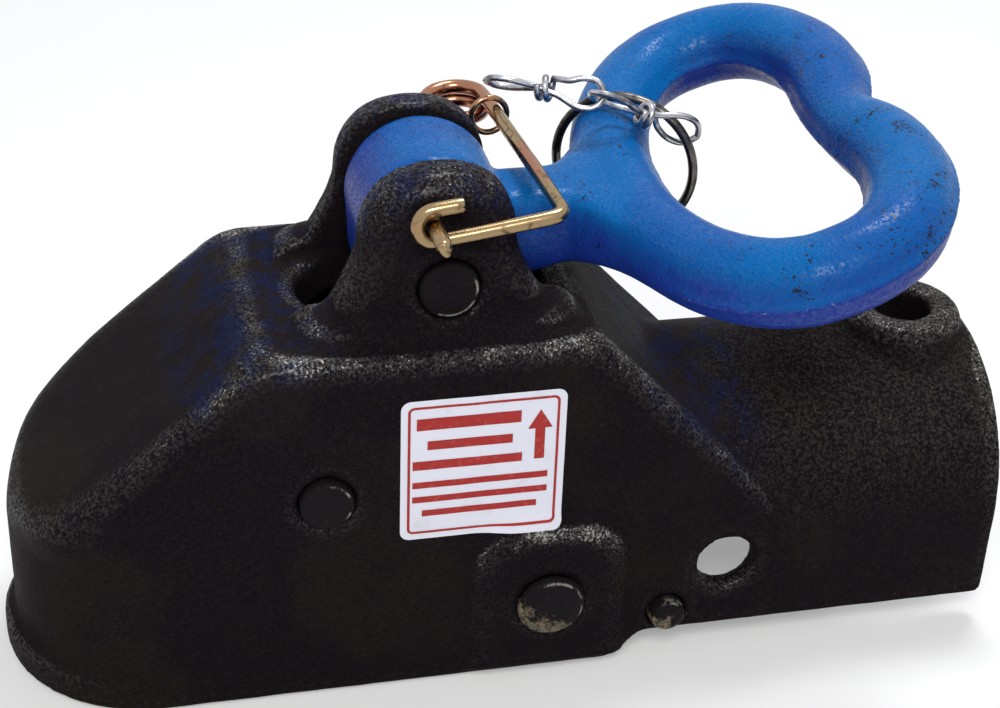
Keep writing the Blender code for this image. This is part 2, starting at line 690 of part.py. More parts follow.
def handle_loop():
    steps = 64
    normal = Vector((-math.sin(LOOP_SLOPE), 0, math.cos(LOOP_SLOPE)))
    sections = []
    for i in range(steps):
        angle = 2 * math.pi * i / steps
        centre = loop_point(angle)
        along = (loop_point(angle + 0.01) - loop_point(angle - 0.01)).normalized()
        turn = min(angle, 2 * math.pi - angle)
        radius = BAR_RADIUS * (1 - BAR_WAIST * math.exp(-(turn / 0.4) ** 2))
        sections.append(bar_section(centre, along.cross(normal).normalized(), normal, radius))
    return loft("handle_loop", sections, closed=True)


def handle_neck():
    """The neck, which leaves the hub and widens into the front of the loop."""
    root = 4 * MM
    end = LOOP_CENTRE_FROM_PIVOT - LOOP_FRONT_REACH
    end_middle = end * math.tan(LOOP_SLOPE) - LOOP_UNDER_PIVOT
    end_half_depth = 0.82 * BAR_RADIUS
    sections = []
    steps = 16
    for i in range(steps + 1):
        t = i / steps
        x = root + (end - root) * t
        swell = max(0.0, (t - 0.62) / 0.38) ** 1.25
        half_width = NECK_HALF_WIDTH + (NECK_ROOT_HALF_WIDTH - NECK_HALF_WIDTH) * swell
        ease = smoothstep(0.35, 1.0, t)
        top = NECK_TOP_OVER_PIVOT * (1 - ease) + (end_middle + end_half_depth) * ease
        bottom = (NECK_TOP_OVER_PIVOT - NECK_DEPTH) * (1 - ease) + (end_middle - end_half_depth) * ease
        ring = []
        for k in range(20):
            angle = 2 * math.pi * k / 20
            across = math.copysign(abs(math.cos(angle)) ** 0.55, math.cos(angle))
            up = math.copysign(abs(math.sin(angle)) ** 0.55, math.sin(angle))
            height = (top + bottom) / 2 + (top - bottom) / 2 * up
            ring.append(PIVOT + Vector((x, half_width * across, height)))
        sections.append(ring)
    return loft("handle_neck", sections)


def hub_outline(inset):
    """The hub's side view, a round-topped tongue between the ears."""
    crown = (-1 * MM, HUB_CROWN_OVER_PIVOT - HUB_RADIUS)
    points = arc(crown, HUB_RADIUS - inset, 0, 180, 20)
    heel = PIVOT_PIN_RADIUS + 5 * MM - inset
    points += arc((crown[0], 0), HUB_RADIUS - inset, 200, 225, 2)
    points += [(-0.35 * HUB_RADIUS, -heel), (0.35 * HUB_RADIUS, -heel)]
    points += arc((crown[0], 0), HUB_RADIUS - inset, 315, 340, 2)
    return [(PIVOT.x + x, PIVOT.z + z) for x, z in points]


def hub_block():
    width = EAR_GAP_HALF - SIDE_GAP
    stations = [(width, HUB_EDGE), (width - 0.3 * HUB_EDGE, 0.3 * HUB_EDGE), (width - HUB_EDGE, 0)]
    sections = [[(x, -depth, z) for x, z in hub_outline(inset)] for depth, inset in stations]
    sections += [[(x, depth, z) for x, z in hub_outline(inset)] for depth, inset in reversed(stations)]
    return loft("hub_block", sections)


def toe_outline():
    """The toe under the hub: a finger that ends round the upper link pin."""
    reach = Vector((TOE_PIN.x - PIVOT.x, TOE_PIN.z - PIVOT.z))
    heading = math.degrees(math.atan2(reach.y, reach.x))
    points = arc((TOE_PIN.x, TOE_PIN.z), TOE_RADIUS, heading - 90, heading + 90, 12)
    points += arc((PIVOT.x, PIVOT.z), PIVOT_PIN_RADIUS + 4 * MM, heading + 90, heading + 270, 12)
    return points


def lock_track():
    """Cutter for the pin's way through the hub, an arc about the pivot as long as the lift."""
    offset = Vector((LOCK_AXIS.x - PIVOT.x, LOCK_AXIS.z - PIVOT.z))
    radius = offset.length
    start = math.degrees(math.atan2(offset.y, offset.x))
    end = start - math.degrees(HANDLE_TRAVEL)
    half = WIRE_RADIUS + LOCK_HOLE_CLEARANCE
    centre = (PIVOT.x, PIVOT.z)
    first = math.radians(start)
    last = math.radians(end)
    first_end = (PIVOT.x + radius * math.cos(first), PIVOT.z + radius * math.sin(first))
    last_end = (PIVOT.x + radius * math.cos(last), PIVOT.z + radius * math.sin(last))
    outline = arc(centre, radius + half, start, end, 14)
    outline += arc(last_end, half, end, end - 180, 6)[1:-1]
    outline += arc(centre, radius - half, end, start, 14)
    outline += arc(first_end, half, start + 180, start, 6)[1:-1]
    return prism("lock_track", outline, -EAR_FACE, EAR_FACE)


def pull_handle(paint):
    """Hub, toe, neck and loop, cast as one lever."""
    handle = hub_block()
    handle.name = "pull_handle"
    handle.data.materials.append(paint)
    toe = prism("handle_toe", toe_outline(), -TOE_HALF_WIDTH, TOE_HALF_WIDTH)
    for piece in (toe, handle_neck(), handle_loop()):
        join(handle, piece)
    cut(handle, cross_cylinder("hub_bore", PIVOT, PIVOT_PIN_RADIUS + FIT_GAP, EAR_FACE))
    cut(handle, cross_cylinder("toe_bore", TOE_PIN, LINK_PIN_RADIUS + FIT_GAP, EAR_FACE, 24))
    cut(handle, lock_track())
    set_origin(handle, PIVOT)
    return handle


# Ball clamp, its link and its spring

def ball_clamp(steel):
    """A cast claw that hangs on the clamp pin and grips the ball from behind and below."""
    eye = (CLAMP_PIN.x, CLAMP_PIN.z)
    back = CLAMP_BACK_X
    front = BALL_CENTRE.x + 0.62 * SOCKET_RADIUS
    outline = arc(eye, CLAMP_EYE_RADIUS, -20, 195, 18)
    outline += [
        (front + 3 * MM, BALL_CENTRE.z + 0.75 * BALL_RADIUS),
        (front, BALL_CENTRE.z + 0.3 * BALL_RADIUS),
        (front, CLAMP_FOOT_HEIGHT + 9 * MM),
        (front + 8 * MM, CLAMP_FOOT_HEIGHT),
        (back - 4 * MM, CLAMP_FOOT_HEIGHT),
        (back, CLAMP_FOOT_HEIGHT + 5 * MM),
        (back, ROD_HEIGHT + 16 * MM),
    ]
    clamp = prism("ball_clamp", outline, -CLAMP_HALF_WIDTH, CLAMP_HALF_WIDTH, material=steel)
    tail_start = (CLAMP_PIN.x + 0.3 * CLAMP_EYE_RADIUS, CLAMP_PIN.z - 0.4 * CLAMP_EYE_RADIUS)
    tail_end = (TAIL_PIN.x, TAIL_PIN.z)
    heading = math.degrees(math.atan2(tail_end[1] - tail_start[1], tail_end[0] - tail_start[0]))
    tail = arc(tail_end, TAIL_RADIUS, heading - 90, heading + 90, 14)
    tail += arc(tail_start, 0.62 * CLAMP_EYE_RADIUS, heading + 90, heading + 270, 10)
    join(clamp, prism("clamp_tail", tail, -TOE_HALF_WIDTH, TOE_HALF_WIDTH))
    ball = [(SOCKET_RADIUS * math.cos(math.radians(a)), SOCKET_RADIUS * math.sin(math.radians(a)))
            for a in range(-84, 85, 6)]
    cut(clamp, turned("ball_form", ball, BALL_CENTRE, segments=44))
    cut(clamp, cross_cylinder("clamp_eye_bore", CLAMP_PIN, CLAMP_PIN_RADIUS + FIT_GAP, HEAD_HALF_WIDTH))
    cut(clamp, cross_cylinder("tail_bore", TAIL_PIN, LINK_PIN_RADIUS + LOST_MOTION, HEAD_HALF_WIDTH, 24))
    sections = []
    for x in (back + 2 * MM, front - 20 * MM):
        rise = ROD_WAY_RISE * (back + 2 * MM - x)
        round_way = arc((0, ROD_HEIGHT), ROD_RADIUS + ROD_PLAY, 0, 360, 20)[:-1]
        sections.append([(x, y, z + (rise if z > ROD_HEIGHT else 0.0)) for y, z in round_way])
    cut(clamp, loft("rod_way", sections))
    set_origin(clamp, CLAMP_PIN)
    return clamp


def stadium(start, end, radius, steps=10):
    """A bar with round ends about two points of x and z."""
    heading = math.degrees(math.atan2(end[1] - start[1], end[0] - start[0]))
    outline = arc(end, radius, heading - 90, heading + 90, steps)
    return outline + arc(start, radius, heading + 90, heading + 270, steps)


def link_plate(name, side, steel):
    """One of the two flat plates that join the handle's toe to the clamp's tail."""
    inner = TOE_HALF_WIDTH + FIT_GAP
    faces = sorted((side * inner, side * (inner + LINK_PLATE)))
    outline = stadium((TAIL_PIN.x, TAIL_PIN.z), (TOE_PIN.x, TOE_PIN.z), LINK_RADIUS)
    plate = prism(name, outline, *faces, material=steel)
    for end in (TOE_PIN, TAIL_PIN):
        cut(plate, cross_cylinder(name + "_bore", end, LINK_PIN_RADIUS + FIT_GAP, HEAD_HALF_WIDTH, 24))
    set_origin(plate, TOE_PIN)
    return plate


def link_pin(name, centre, steel):
    face = TOE_HALF_WIDTH + FIT_GAP + LINK_PLATE
    pin = headed_pin(name, centre, LINK_PIN_RADIUS, face, LINK_PIN_HEAD, steel, LINK_PIN_RADIUS + 1.5 * MM)
    set_origin(pin, TOE_PIN)
    return pin


def spring_guide(steel):
    """An eye on the guide pin with the rod that the clamp's spring sits on."""
    eye = arc((GUIDE_PIN.x, GUIDE_PIN.z), ROD_EYE_RADIUS, 0, 360, 32)[:-1]
    guide = prism("spring_guide", eye, -ROD_EYE_HALF_WIDTH, ROD_EYE_HALF_WIDTH, material=steel)
    rod_tip = CLAMP_BACK_X - 5 * MM
    rod = arc((0, ROD_HEIGHT), ROD_RADIUS, 0, 360, 20)[:-1]
    join(guide, prism("guide_rod", rod, rod_tip, GUIDE_PIN.x, "X"))
    seat = arc((0, ROD_HEIGHT), SPRING_RADIUS + 2.6 * MM, 0, 360, 24)[:-1]
    seat_x = GUIDE_PIN.x - ROD_EYE_RADIUS
    join(guide, prism("spring_seat", seat, seat_x - 2 * MM, seat_x + 7 * MM, "X"))
    bore = cross_cylinder("guide_eye_bore", GUIDE_PIN, GUIDE_PIN_RADIUS + FIT_GAP, HEAD_HALF_WIDTH)
    cut(guide, bore)
    set_origin(guide, GUIDE_PIN)
    return guide


def clamp_spring(spring_steel):
    """The coil spring that pushes the clamp on to the ball."""
    start = CLAMP_BACK_X + SPRING_WIRE_RADIUS + FIT_GAP
    end = GUIDE_PIN.x - ROD_EYE_RADIUS - 2 * MM - SPRING_WIRE_RADIUS - FIT_GAP
    steps = SPRING_TURNS * 12
    points = []
    for i in range(steps + 1):
        t = i / steps
        angle = 2 * math.pi * SPRING_TURNS * t
        y = SPRING_RADIUS * math.cos(angle)
        z = ROD_HEIGHT + SPRING_RADIUS * math.sin(angle)
        points.append((start + (end - start) * t, y, z))
    spring = wire("clamp_spring", points, SPRING_WIRE_RADIUS, spring_steel, resolution=2)
    set_origin(spring, CLAMP_PIN)
    return spring


# Safety pin

def safety_pin_leg(zinc):
    """The straight leg through both ears and the hub."""
    tip = Vector((LOCK_AXIS.x, -EAR_FACE - LEG_TIP_PROUD, LOCK_AXIS.z))
    tail = Vector((LOCK_AXIS.x, EAR_FACE + LEG_TAIL_PROUD, LOCK_AXIS.z))
    points = [tip.lerp(tail, i / 8) for i in range(9)]
    leg = wire("safety_pin_leg", points, WIRE_RADIUS, zinc)
    set_origin(leg, LOCK_AXIS)
    return leg


def spring_arm_start():
    """Where the coil lets go of the outer arm."""
    rise = COIL_TURNS * COIL_PITCH
    offset = Vector((COIL_OFFSET[0] + COIL_RADIUS, COIL_OFFSET[1], COIL_OFFSET[2] + rise))
    return Vector((LOCK_AXIS.x, EAR_FACE, LOCK_AXIS.z)) + offset


def spring_arm_end():
    """The bend at which the outer arm turns back across the near ear."""
    return Vector((LOCK_AXIS.x + SPRING_ARM_REACH, -EAR_FACE - HOOK_FROM_EAR, LOCK_AXIS.z + 0.5 * MM))


def safety_pin_spring(zinc):
    """The coil, the outer arm over the handle's neck and the hook that snaps round the tip."""
    root = Vector((LOCK_AXIS.x, EAR_FACE + LEG_TAIL_PROUD + FIT_GAP, LOCK_AXIS.z))
    centre = Vector((LOCK_AXIS.x, EAR_FACE, LOCK_AXIS.z)) + Vector(COIL_OFFSET)
    coil = []
    steps = int(COIL_TURNS * 18)
    for i in range(steps + 1):
        t = i / steps
        angle = math.pi - 2 * math.pi * COIL_TURNS * t
        rise = COIL_PITCH * COIL_TURNS * t
        coil.append(centre + Vector((COIL_RADIUS * math.cos(angle), COIL_RADIUS * math.sin(angle), rise)))
    lead = [root, root + Vector((0, 3 * MM, 0.2 * MM)), coil[0] + Vector((-0.5 * MM, -4 * MM, 0)), coil[0]]
    arm_end = spring_arm_end()
    hook_y = arm_end.y
    low = math.radians(262)
    touch = Vector((LOCK_AXIS.x + HOOK_RADIUS * math.cos(low), hook_y, LOCK_AXIS.z + HOOK_RADIUS * math.sin(low)))
    outer = rounded_route([coil[-1], arm_end, touch], 5 * MM)
    hook = []
    for i in range(1, 11):
        angle = low - math.radians(168) * i / 10
        x = LOCK_AXIS.x + HOOK_RADIUS * math.cos(angle)
        hook.append(Vector((x, hook_y, LOCK_AXIS.z + HOOK_RADIUS * math.sin(angle))))
    end = hook[-1] + Vector((7.5 * MM, 0, 0.9 * MM))
    route = rounded_route(lead, 3 * MM, 3)[:-1] + coil + outer[1:] + hook + [end]
    spring = wire("safety_pin_spring", route, WIRE_RADIUS, zinc)
    set_origin(spring, LOCK_AXIS)
    return spring


# Tether

def ring_points(centre, radius, first, second, steps=28):
    points = []
    for i in range(steps):
        angle = 2 * math.pi * i / steps
        points.append(centre + first * (radius * math.cos(angle)) + second * (radius * math.sin(angle)))
    return points


def coil_ring(zinc):
    """A small split ring that hangs on the safety pin's outer arm, next to its coil."""
    start = spring_arm_start()
    arm = (spring_arm_end() - start).normalized()
    seat = start + arm * COIL_RING_FROM_COIL
    across = Vector((0, 0, 1)).cross(arm).normalized()
    upward = arm.cross(across).normalized()
    drop = COIL_RING_RADIUS - COIL_RING_WIRE - WIRE_RADIUS - FIT_GAP
    centre = seat - (across + upward).normalized() * drop
    points = ring_points(centre, COIL_RING_RADIUS, across, upward, 20)
    ring = wire("coil_ring", points, COIL_RING_WIRE, zinc, cyclic=True, resolution=2)
    set_origin(ring, seat)
    return ring


def neck_ring_frame():
    """The far arm's middle where the ring hangs, the ring's centre and its two directions."""
    angle = math.radians(133)
    seat = loop_point(angle)
    along = (loop_point(angle - 0.02) - loop_point(angle + 0.02)).normalized()
    side = along.cross(Vector((0, 0, 1))).normalized()
    side.rotate(Matrix.Rotation(-NECK_RING_YAW, 3, "Z"))
    upward = Vector((0, 0, 1)) * math.cos(NECK_RING_SWING) - side * math.sin(NECK_RING_SWING)
    outward = side * math.cos(NECK_RING_SWING) + Vector((0, 0, 1)) * math.sin(NECK_RING_SWING)
    drop = NECK_RING_RADIUS - NECK_RING_WIRE - BAR_RADIUS - NECK_RING_GAP
    return seat, seat - upward * drop, outward, upward


def neck_ring(dark_wire):
    """The wire ring that hangs round the far arm of the handle."""
    seat, centre, outward, upward = neck_ring_frame()
    points = ring_points(centre, NECK_RING_RADIUS, outward, upward, 36)
    ring = wire("neck_ring", points, NECK_RING_WIRE, dark_wire, cyclic=True, resolution=2)
    set_origin(ring, seat)
    return ring


def chain_link(name, start, end, first, twist, origin, silver):
    """A knotted link: a loop at each end, one turned from the other, and the wire's end wound between."""
    along = (end - start).normalized()
    second = along.cross(first).normalized()
    first = second.cross(along)
    middle = (start + end) / 2
    half = (end - start).length / 2
    knot = 3.2 * MM / half
    steps = 24
    upper = []
    lower = []
    for i in range(1, steps):
        share = -math.cos(math.pi * i / steps)
        loop = max(0.0, (abs(share) - knot) / (1 - knot))
        bulge = min(1.0, 2.2 * loop) * min(1.0, 1.9 * math.sqrt(1 - loop))
        spread = LINK_WAIST + (LINK_LOOP_HALF_WIDTH - LINK_WAIST) * bulge
        spread *= min(1.0, 3 * math.sqrt(1 - loop))
        turn = math.radians(twist) * smoothstep(-knot, knot, share)
        aside = first * math.cos(turn) + second * math.sin(turn)
        upper.append((share, middle + along * (half * share) + aside * spread))
        lower.append((share, middle + along * (half * share) - aside * spread))
    turns = 1.75
    winding = []
    for i in range(18):
        t = i / 17
        angle = math.pi / 2 - 2 * math.pi * turns * (1 - t)
        sideways = first * math.cos(angle) + second * math.sin(angle)
        run = 2.4 * CHAIN_WIRE * turns * (t - 0.5)
        winding.append(middle + along * run + sideways * (LINK_WAIST + 2 * CHAIN_WIRE + FIT_GAP))
    points = winding + [point for share, point in upper if share > 1.4 * knot] + [end]
    points += [point for share, point in reversed(lower)] + [start]
    points += [point for share, point in upper if share < 0.9 * knot]
    link = wire(name, points, CHAIN_WIRE, silver, resolution=2)
    set_origin(link, origin)
    return link


def chain(silver):
    """Two links that lead from the ring on the handle towards the safety pin."""
    seat, centre, outward, upward = neck_ring_frame()
    turn = math.radians(42) - NECK_RING_SWING
    catch = centre + outward * (NECK_RING_RADIUS * math.cos(turn)) + upward * (NECK_RING_RADIUS * math.sin(turn))
    ahead, aside, over = CHAIN_JOINT_FROM_LOOP
    reach = LOOP_CENTRE_FROM_PIVOT + ahead
    joint = PIVOT + Vector((reach, aside, reach * math.tan(LOOP_SLOPE) - LOOP_UNDER_PIVOT + over))
    run = (joint - catch).normalized()
    slant = Vector((0, 0.8, -0.6))
    chain_link("chain_link_2", joint + run * CHAIN_SLACK, catch - run * 6.5 * MM, slant, -45, catch, silver)
    free_end = from_pivot(CHAIN_END_FROM_PIVOT, EAR_FACE + 4 * MM)
    run = (free_end - joint).normalized()
    chain_link("chain_link_1", free_end, joint - run * CHAIN_SLACK, slant, 90, joint, silver)


def build():
    clear_scene()
    iron = make_material("cast_iron", (0.025, 0.025, 0.027), 0.62, 0.35)
    paint = make_material("blue_paint", (0.01, 0.09, 0.42), 0.38, 0.0)
    steel = make_material("dark_steel", (0.18, 0.17, 0.16), 0.45, 0.9)
    zinc = make_material("yellow_zinc", (0.55, 0.42, 0.22), 0.3, 1.0)
    dark_wire = make_material("dark_wire", (0.12, 0.12, 0.12), 0.35, 1.0)
    spring_steel = make_material("spring_steel", (0.3, 0.3, 0.31), 0.3, 1.0)
    coupler_body(iron)
    pull_handle(paint)
    headed_pin("handle_pivot_pin", PIVOT, PIVOT_PIN_RADIUS, EAR_FACE, 1 * MM, steel)
    headed_pin("clamp_pin", CLAMP_PIN, CLAMP_PIN_RADIUS, HEAD_HALF_WIDTH, CLAMP_PIN_PROUD, steel)
    pad_face = HEAD_HALF_WIDTH + GUIDE_PAD_THICKNESS
    headed_pin("guide_pin", GUIDE_PIN, GUIDE_PIN_RADIUS, pad_face, PIN_HEAD_PROUD, steel, GUIDE_PIN_HEAD_RADIUS)
    headed_pin("drawbar_stop_pin", STOP_PIN, STOP_PIN_RADIUS, HEAD_HALF_WIDTH, STOP_PIN_PROUD, steel)
    ball_clamp(steel)
    link_plate("link_plate_near", -1, steel)
    link_plate("link_plate_far", 1, steel)
    link_pin("link_pin_upper", TOE_PIN, steel)
    link_pin("link_pin_lower", TAIL_PIN, steel)
    spring_guide(steel)
    clamp_spring(spring_steel)
    safety_pin_leg(zinc)
    safety_pin_spring(zinc)
    coil_ring(zinc)
    neck_ring(dark_wire)
    chain(make_material("chain_wire", (0.62, 0.61, 0.58), 0.25, 1.0))


build()
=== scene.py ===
import math

import bmesh
import bpy
import numpy as np
from mathutils import Matrix, Vector, noise
from mathutils.bvhtree import BVHTree


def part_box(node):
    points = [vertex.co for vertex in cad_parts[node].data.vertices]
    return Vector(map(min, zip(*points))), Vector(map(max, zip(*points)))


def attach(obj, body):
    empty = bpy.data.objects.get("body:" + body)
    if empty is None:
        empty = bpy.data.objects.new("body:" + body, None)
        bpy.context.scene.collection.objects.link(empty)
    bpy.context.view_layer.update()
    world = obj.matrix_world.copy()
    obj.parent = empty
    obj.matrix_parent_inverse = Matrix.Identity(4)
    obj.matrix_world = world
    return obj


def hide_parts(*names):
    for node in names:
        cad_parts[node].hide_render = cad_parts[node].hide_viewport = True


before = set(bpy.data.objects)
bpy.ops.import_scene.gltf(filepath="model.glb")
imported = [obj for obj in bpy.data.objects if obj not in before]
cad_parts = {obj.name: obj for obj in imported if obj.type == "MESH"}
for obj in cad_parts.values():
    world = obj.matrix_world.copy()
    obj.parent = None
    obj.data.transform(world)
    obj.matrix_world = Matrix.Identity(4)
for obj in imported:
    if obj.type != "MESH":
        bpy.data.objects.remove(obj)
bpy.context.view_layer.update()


# Studio: a pale floor, two soft lamps and an even sky.
# The coupler stands on its rim, as it does on a bench, and is seen from its near side, from above.

scene = bpy.context.scene
scene.view_settings.view_transform = "Standard"

sky_tint = (0.93, 0.96, 1.0, 1)
sky_strength = 0.38
key_power = 10
key_tint = (1.0, 0.98, 0.95)
top_power = 8.5
top_tint = (0.97, 0.98, 1.0)
floor_grey = (0.9, 0.9, 0.9, 1)
floor_glow = 0.3
film_width = 36.0
lens_ratio = 2.01415

eye_point = Vector((-0.11859, -0.47816, 0.38991))
eye_right = Vector((0.97501, -0.21881, 0.03844))
eye_up = Vector((0.08401, 0.52335, 0.84797))
eye_back = eye_right.cross(eye_up)
camera_data = bpy.data.cameras.new("photo_camera")
camera_data.sensor_width = film_width
camera_data.lens = film_width * lens_ratio
camera = bpy.data.objects.new("photo_camera", camera_data)
camera.matrix_world = Matrix((
    (eye_right.x, eye_up.x, eye_back.x, eye_point.x),
    (eye_right.y, eye_up.y, eye_back.y, eye_point.y),
    (eye_right.z, eye_up.z, eye_back.z, eye_point.z),
    (0, 0, 0, 1),
))
scene.collection.objects.link(camera)
scene.camera = camera


def seen_share(nodes, links, most):
    """1 for a ray that comes from the camera, a mirror or clear glass, times most."""
    rays = nodes.new("ShaderNodeLightPath")
    total = None
    for kind in ("Is Camera Ray", "Is Glossy Ray", "Is Transmission Ray"):
        if total is None:
            total = rays.outputs[kind]
            continue
        either = nodes.new("ShaderNodeMath")
        either.operation = "MAXIMUM"
        links.new(total, either.inputs[0])
        links.new(rays.outputs[kind], either.inputs[1])
        total = either.outputs[0]
    share = nodes.new("ShaderNodeMath")
    share.operation = "MULTIPLY"
    share.inputs[1].default_value = most
    links.new(total, share.inputs[0])
    return share.outputs[0]


sky = bpy.data.worlds.new("studio_sky")
sky.use_nodes = True
scene.world = sky
sky_nodes = sky.node_tree.nodes
sky_links = sky.node_tree.links
sky_nodes.clear()
sky_lit = sky_nodes.new("ShaderNodeBackground")
sky_lit.inputs["Color"].default_value = sky_tint
sky_lit.inputs["Strength"].default_value = sky_strength
sky_seen = sky_nodes.new("ShaderNodeBackground")
sky_seen.inputs["Color"].default_value = (1, 1, 1, 1)
sky_mix = sky_nodes.new("ShaderNodeMixShader")
sky_out = sky_nodes.new("ShaderNodeOutputWorld")
sky_links.new(seen_share(sky_nodes, sky_links, 1.0), sky_mix.inputs["Fac"])
sky_links.new(sky_lit.outputs["Background"], sky_mix.inputs[1])
sky_links.new(sky_seen.outputs["Background"], sky_mix.inputs[2])
sky_links.new(sky_mix.outputs["Shader"], sky_out.inputs["Surface"])


def soft_lamp(name, place, aim, width, power, colour):
    data = bpy.data.lights.new(name, "AREA")
    data.shape = "RECTANGLE"
    data.size = width
    data.size_y = width * 0.7
    data.energy = power
    data.color = colour
    lamp = bpy.data.objects.new(name, data)
    lamp.location = place
    lamp.rotation_euler = (Vector(aim) - Vector(place)).to_track_quat("-Z", "Y").to_euler()
    scene.collection.objects.link(lamp)


soft_lamp("key_lamp", (-0.25, -0.88, 1.05), aim=(0, 0, 0.06), width=0.55, power=key_power, colour=key_tint)
soft_lamp("top_lamp", (0.25, 0.35, 1.15), aim=(0, 0, 0.08), width=0.45, power=top_power, colour=top_tint)

floor_bm = bmesh.new()
bmesh.ops.create_grid(floor_bm, x_segments=1, y_segments=1, size=3.0)
floor_mesh = bpy.data.meshes.new("studio_floor")
floor_bm.to_mesh(floor_mesh)
floor_bm.free()
studio_floor = bpy.data.objects.new("studio_floor", floor_mesh)
studio_floor.location.z = -0.0005
scene.collection.objects.link(studio_floor)
floor_paint = bpy.data.materials.new("pale_floor")
floor_paint.use_nodes = True
floor_nodes = floor_paint.node_tree.nodes
floor_links = floor_paint.node_tree.links
floor_shader = floor_nodes["Principled BSDF"]
floor_shader.inputs["Base Color"].default_value = floor_grey
floor_shader.inputs["Roughness"].default_value = 0.85
floor_white = floor_nodes.new("ShaderNodeEmission")
floor_mix = floor_nodes.new("ShaderNodeMixShader")
floor_links.new(seen_share(floor_nodes, floor_links, floor_glow), floor_mix.inputs["Fac"])
floor_links.new(floor_shader.outputs["BSDF"], floor_mix.inputs[1])
floor_links.new(floor_white.outputs["Emission"], floor_mix.inputs[2])
floor_links.new(floor_mix.outputs["Shader"], floor_nodes["Material Output"].inputs["Surface"])
floor_mesh.materials.append(floor_paint)


# Coupler head: one sand casting in iron, dipped in a thin black coat that wears grey on its ridges; the
# ridges that face up also carry painted highlights.
# The handle was sprayed in place, so a little of its blue lies round the ears and on the slopes.

head_black = (0.0082, 0.0058, 0.0084)
head_brown = (0.0165, 0.0125, 0.0110)
head_grey = (0.034, 0.029, 0.026)
head_wear_and_sparkle_grey = (0.11, 0.105, 0.098)
head_painted_glint = (0.34, 0.325, 0.30)
head_overspray = (0.004, 0.013, 0.062)
head_voxel = 0.0014
head_lump = 0.00012
weld_reach = 0.00001
ridge_full = 0.00025
broad_rounds = 14
broad_lumps = 95
fine_lumps = 270
fine_share = 0.45
lump_sink = 0.9
pad_middle = Vector((0.0074, 0, 0.030))
pad_arch_height = 0.048
top_edge_start = (0.090, 0.100)
top_edge_end = (0.116, 0.110)
nose_fade = (-0.135, -0.085)
crown_flecks = (0.050, 0.075)
crown_grey = (0.050, 0.085)
spray_front_x = -0.074
spray_rear_x = 0.052
spray_height = (0.044, 0.092)
spray_ear_height = (0.122, 0.145)


def soften(points, edges, rounds, share):
    """Moves each point towards the middle of its neighbours, by a share that may differ by point."""
    count = len(points)
    neighbours = np.bincount(edges[:, 0], minlength=count) + np.bincount(edges[:, 1], minlength=count)
    neighbours = np.maximum(neighbours, 1)[:, None]
    for _ in range(rounds):
        total = np.empty_like(points)
        for axis in range(3):
            total[:, axis] = (np.bincount(edges[:, 0], points[edges[:, 1], axis], count)
                              + np.bincount(edges[:, 1], points[edges[:, 0], axis], count))
        points = points + (total / neighbours - points) * share[:, None]
    return points


def cast_copy(node, name, voxel, rounds, lump, soft_places=(), extra=()):
    """A fine, softened copy of a casting's CAD node. Its attribute ridge_sharpness is high on edges.

    A soft place is a middle, a reach along each axis, and how many more rounds of softening it gets.
    """
    bm = bmesh.new()
    bm.from_mesh(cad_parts[node].data)
    for mesh in extra:
        bm.from_mesh(mesh)
    bmesh.ops.remove_doubles(bm, verts=bm.verts, dist=weld_reach)
    rough = bpy.data.meshes.new(name + "_rough")
    bm.to_mesh(rough)
    bm.free()
    source = bpy.data.objects.new(name + "_rough", rough)
    scene.collection.objects.link(source)
    skin = source.modifiers.new("skin", "REMESH")
    skin.mode = "VOXEL"
    skin.voxel_size = voxel
    mesh = bpy.data.meshes.new_from_object(source.evaluated_get(bpy.context.evaluated_depsgraph_get()))
    bpy.data.objects.remove(source)
    bpy.data.meshes.remove(rough)
    count = len(mesh.vertices)
    points = np.empty(count * 3)
    mesh.vertices.foreach_get("co", points)
    points = points.reshape(-1, 3)
    edges = np.empty(len(mesh.edges) * 2, np.int64)
    mesh.edges.foreach_get("vertices", edges)
    edges = edges.reshape(-1, 2)
    even = np.full(count, 0.5)
    faired = soften(points, edges, 1, even)
    soft = soften(faired, edges, rounds, even)
    for middle, reach, more in soft_places:
        away = np.abs(faired - np.array(middle)) / np.array(reach)
        near = np.clip(1.6 - away.max(axis=1) * 1.6, 0, 1)
        soft = soften(soft, edges, more, 0.5 * near)
    broad = soften(soft, edges, broad_rounds, even)
    mesh.vertices.foreach_set("co", soft.ravel())
    mesh.update()
    normals = np.empty(count * 3)
    mesh.vertex_normals.foreach_get("vector", normals)
    normals = normals.reshape(-1, 3)
    # How far each point stands out from its broad, softened surroundings; the finishes use it for wear and
    # for painted highlights.
    ridge = ((soft - broad) * normals).sum(axis=1) / ridge_full
    swell = []
    for point in soft:
        spot = Vector(point)
        swell.append(noise.noise(spot * broad_lumps) + fine_share * noise.noise(spot * fine_lumps))
    soft = soft + normals * ((np.array(swell) - lump_sink) * lump)[:, None]
    mesh.vertices.foreach_set("co", soft.ravel())
    worn = mesh.attributes.new("ridge_sharpness", "FLOAT", "POINT")
    worn.data.foreach_set("value", ridge.astype(np.float32))
    mesh.shade_smooth()
    mesh.name = name
    mesh.materials.clear()
    copy = bpy.data.objects.new(name, mesh)
    scene.collection.objects.link(copy)
    return copy


def stand_for(piece, node, body, finish):
    """Lets a piece take the place of a CAD node, on the same body, with a finish of its own."""
    piece.data.materials.clear()
    piece.data.materials.append(finish)
    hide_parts(node)
    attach(piece, body)


def new_effect(name, values, results):
    """An empty node group with float inputs and outputs."""
    effect = bpy.data.node_groups.new(name, "ShaderNodeTree")
    for label, default in values.items():
        socket = effect.interface.new_socket(label, in_out="INPUT", socket_type="NodeSocketFloat")
        socket.default_value = default
    for label in results:
        effect.interface.new_socket(label, in_out="OUTPUT", socket_type="NodeSocketFloat")
    return effect, effect.nodes.new("NodeGroupInput"), effect.nodes.new("NodeGroupOutput")


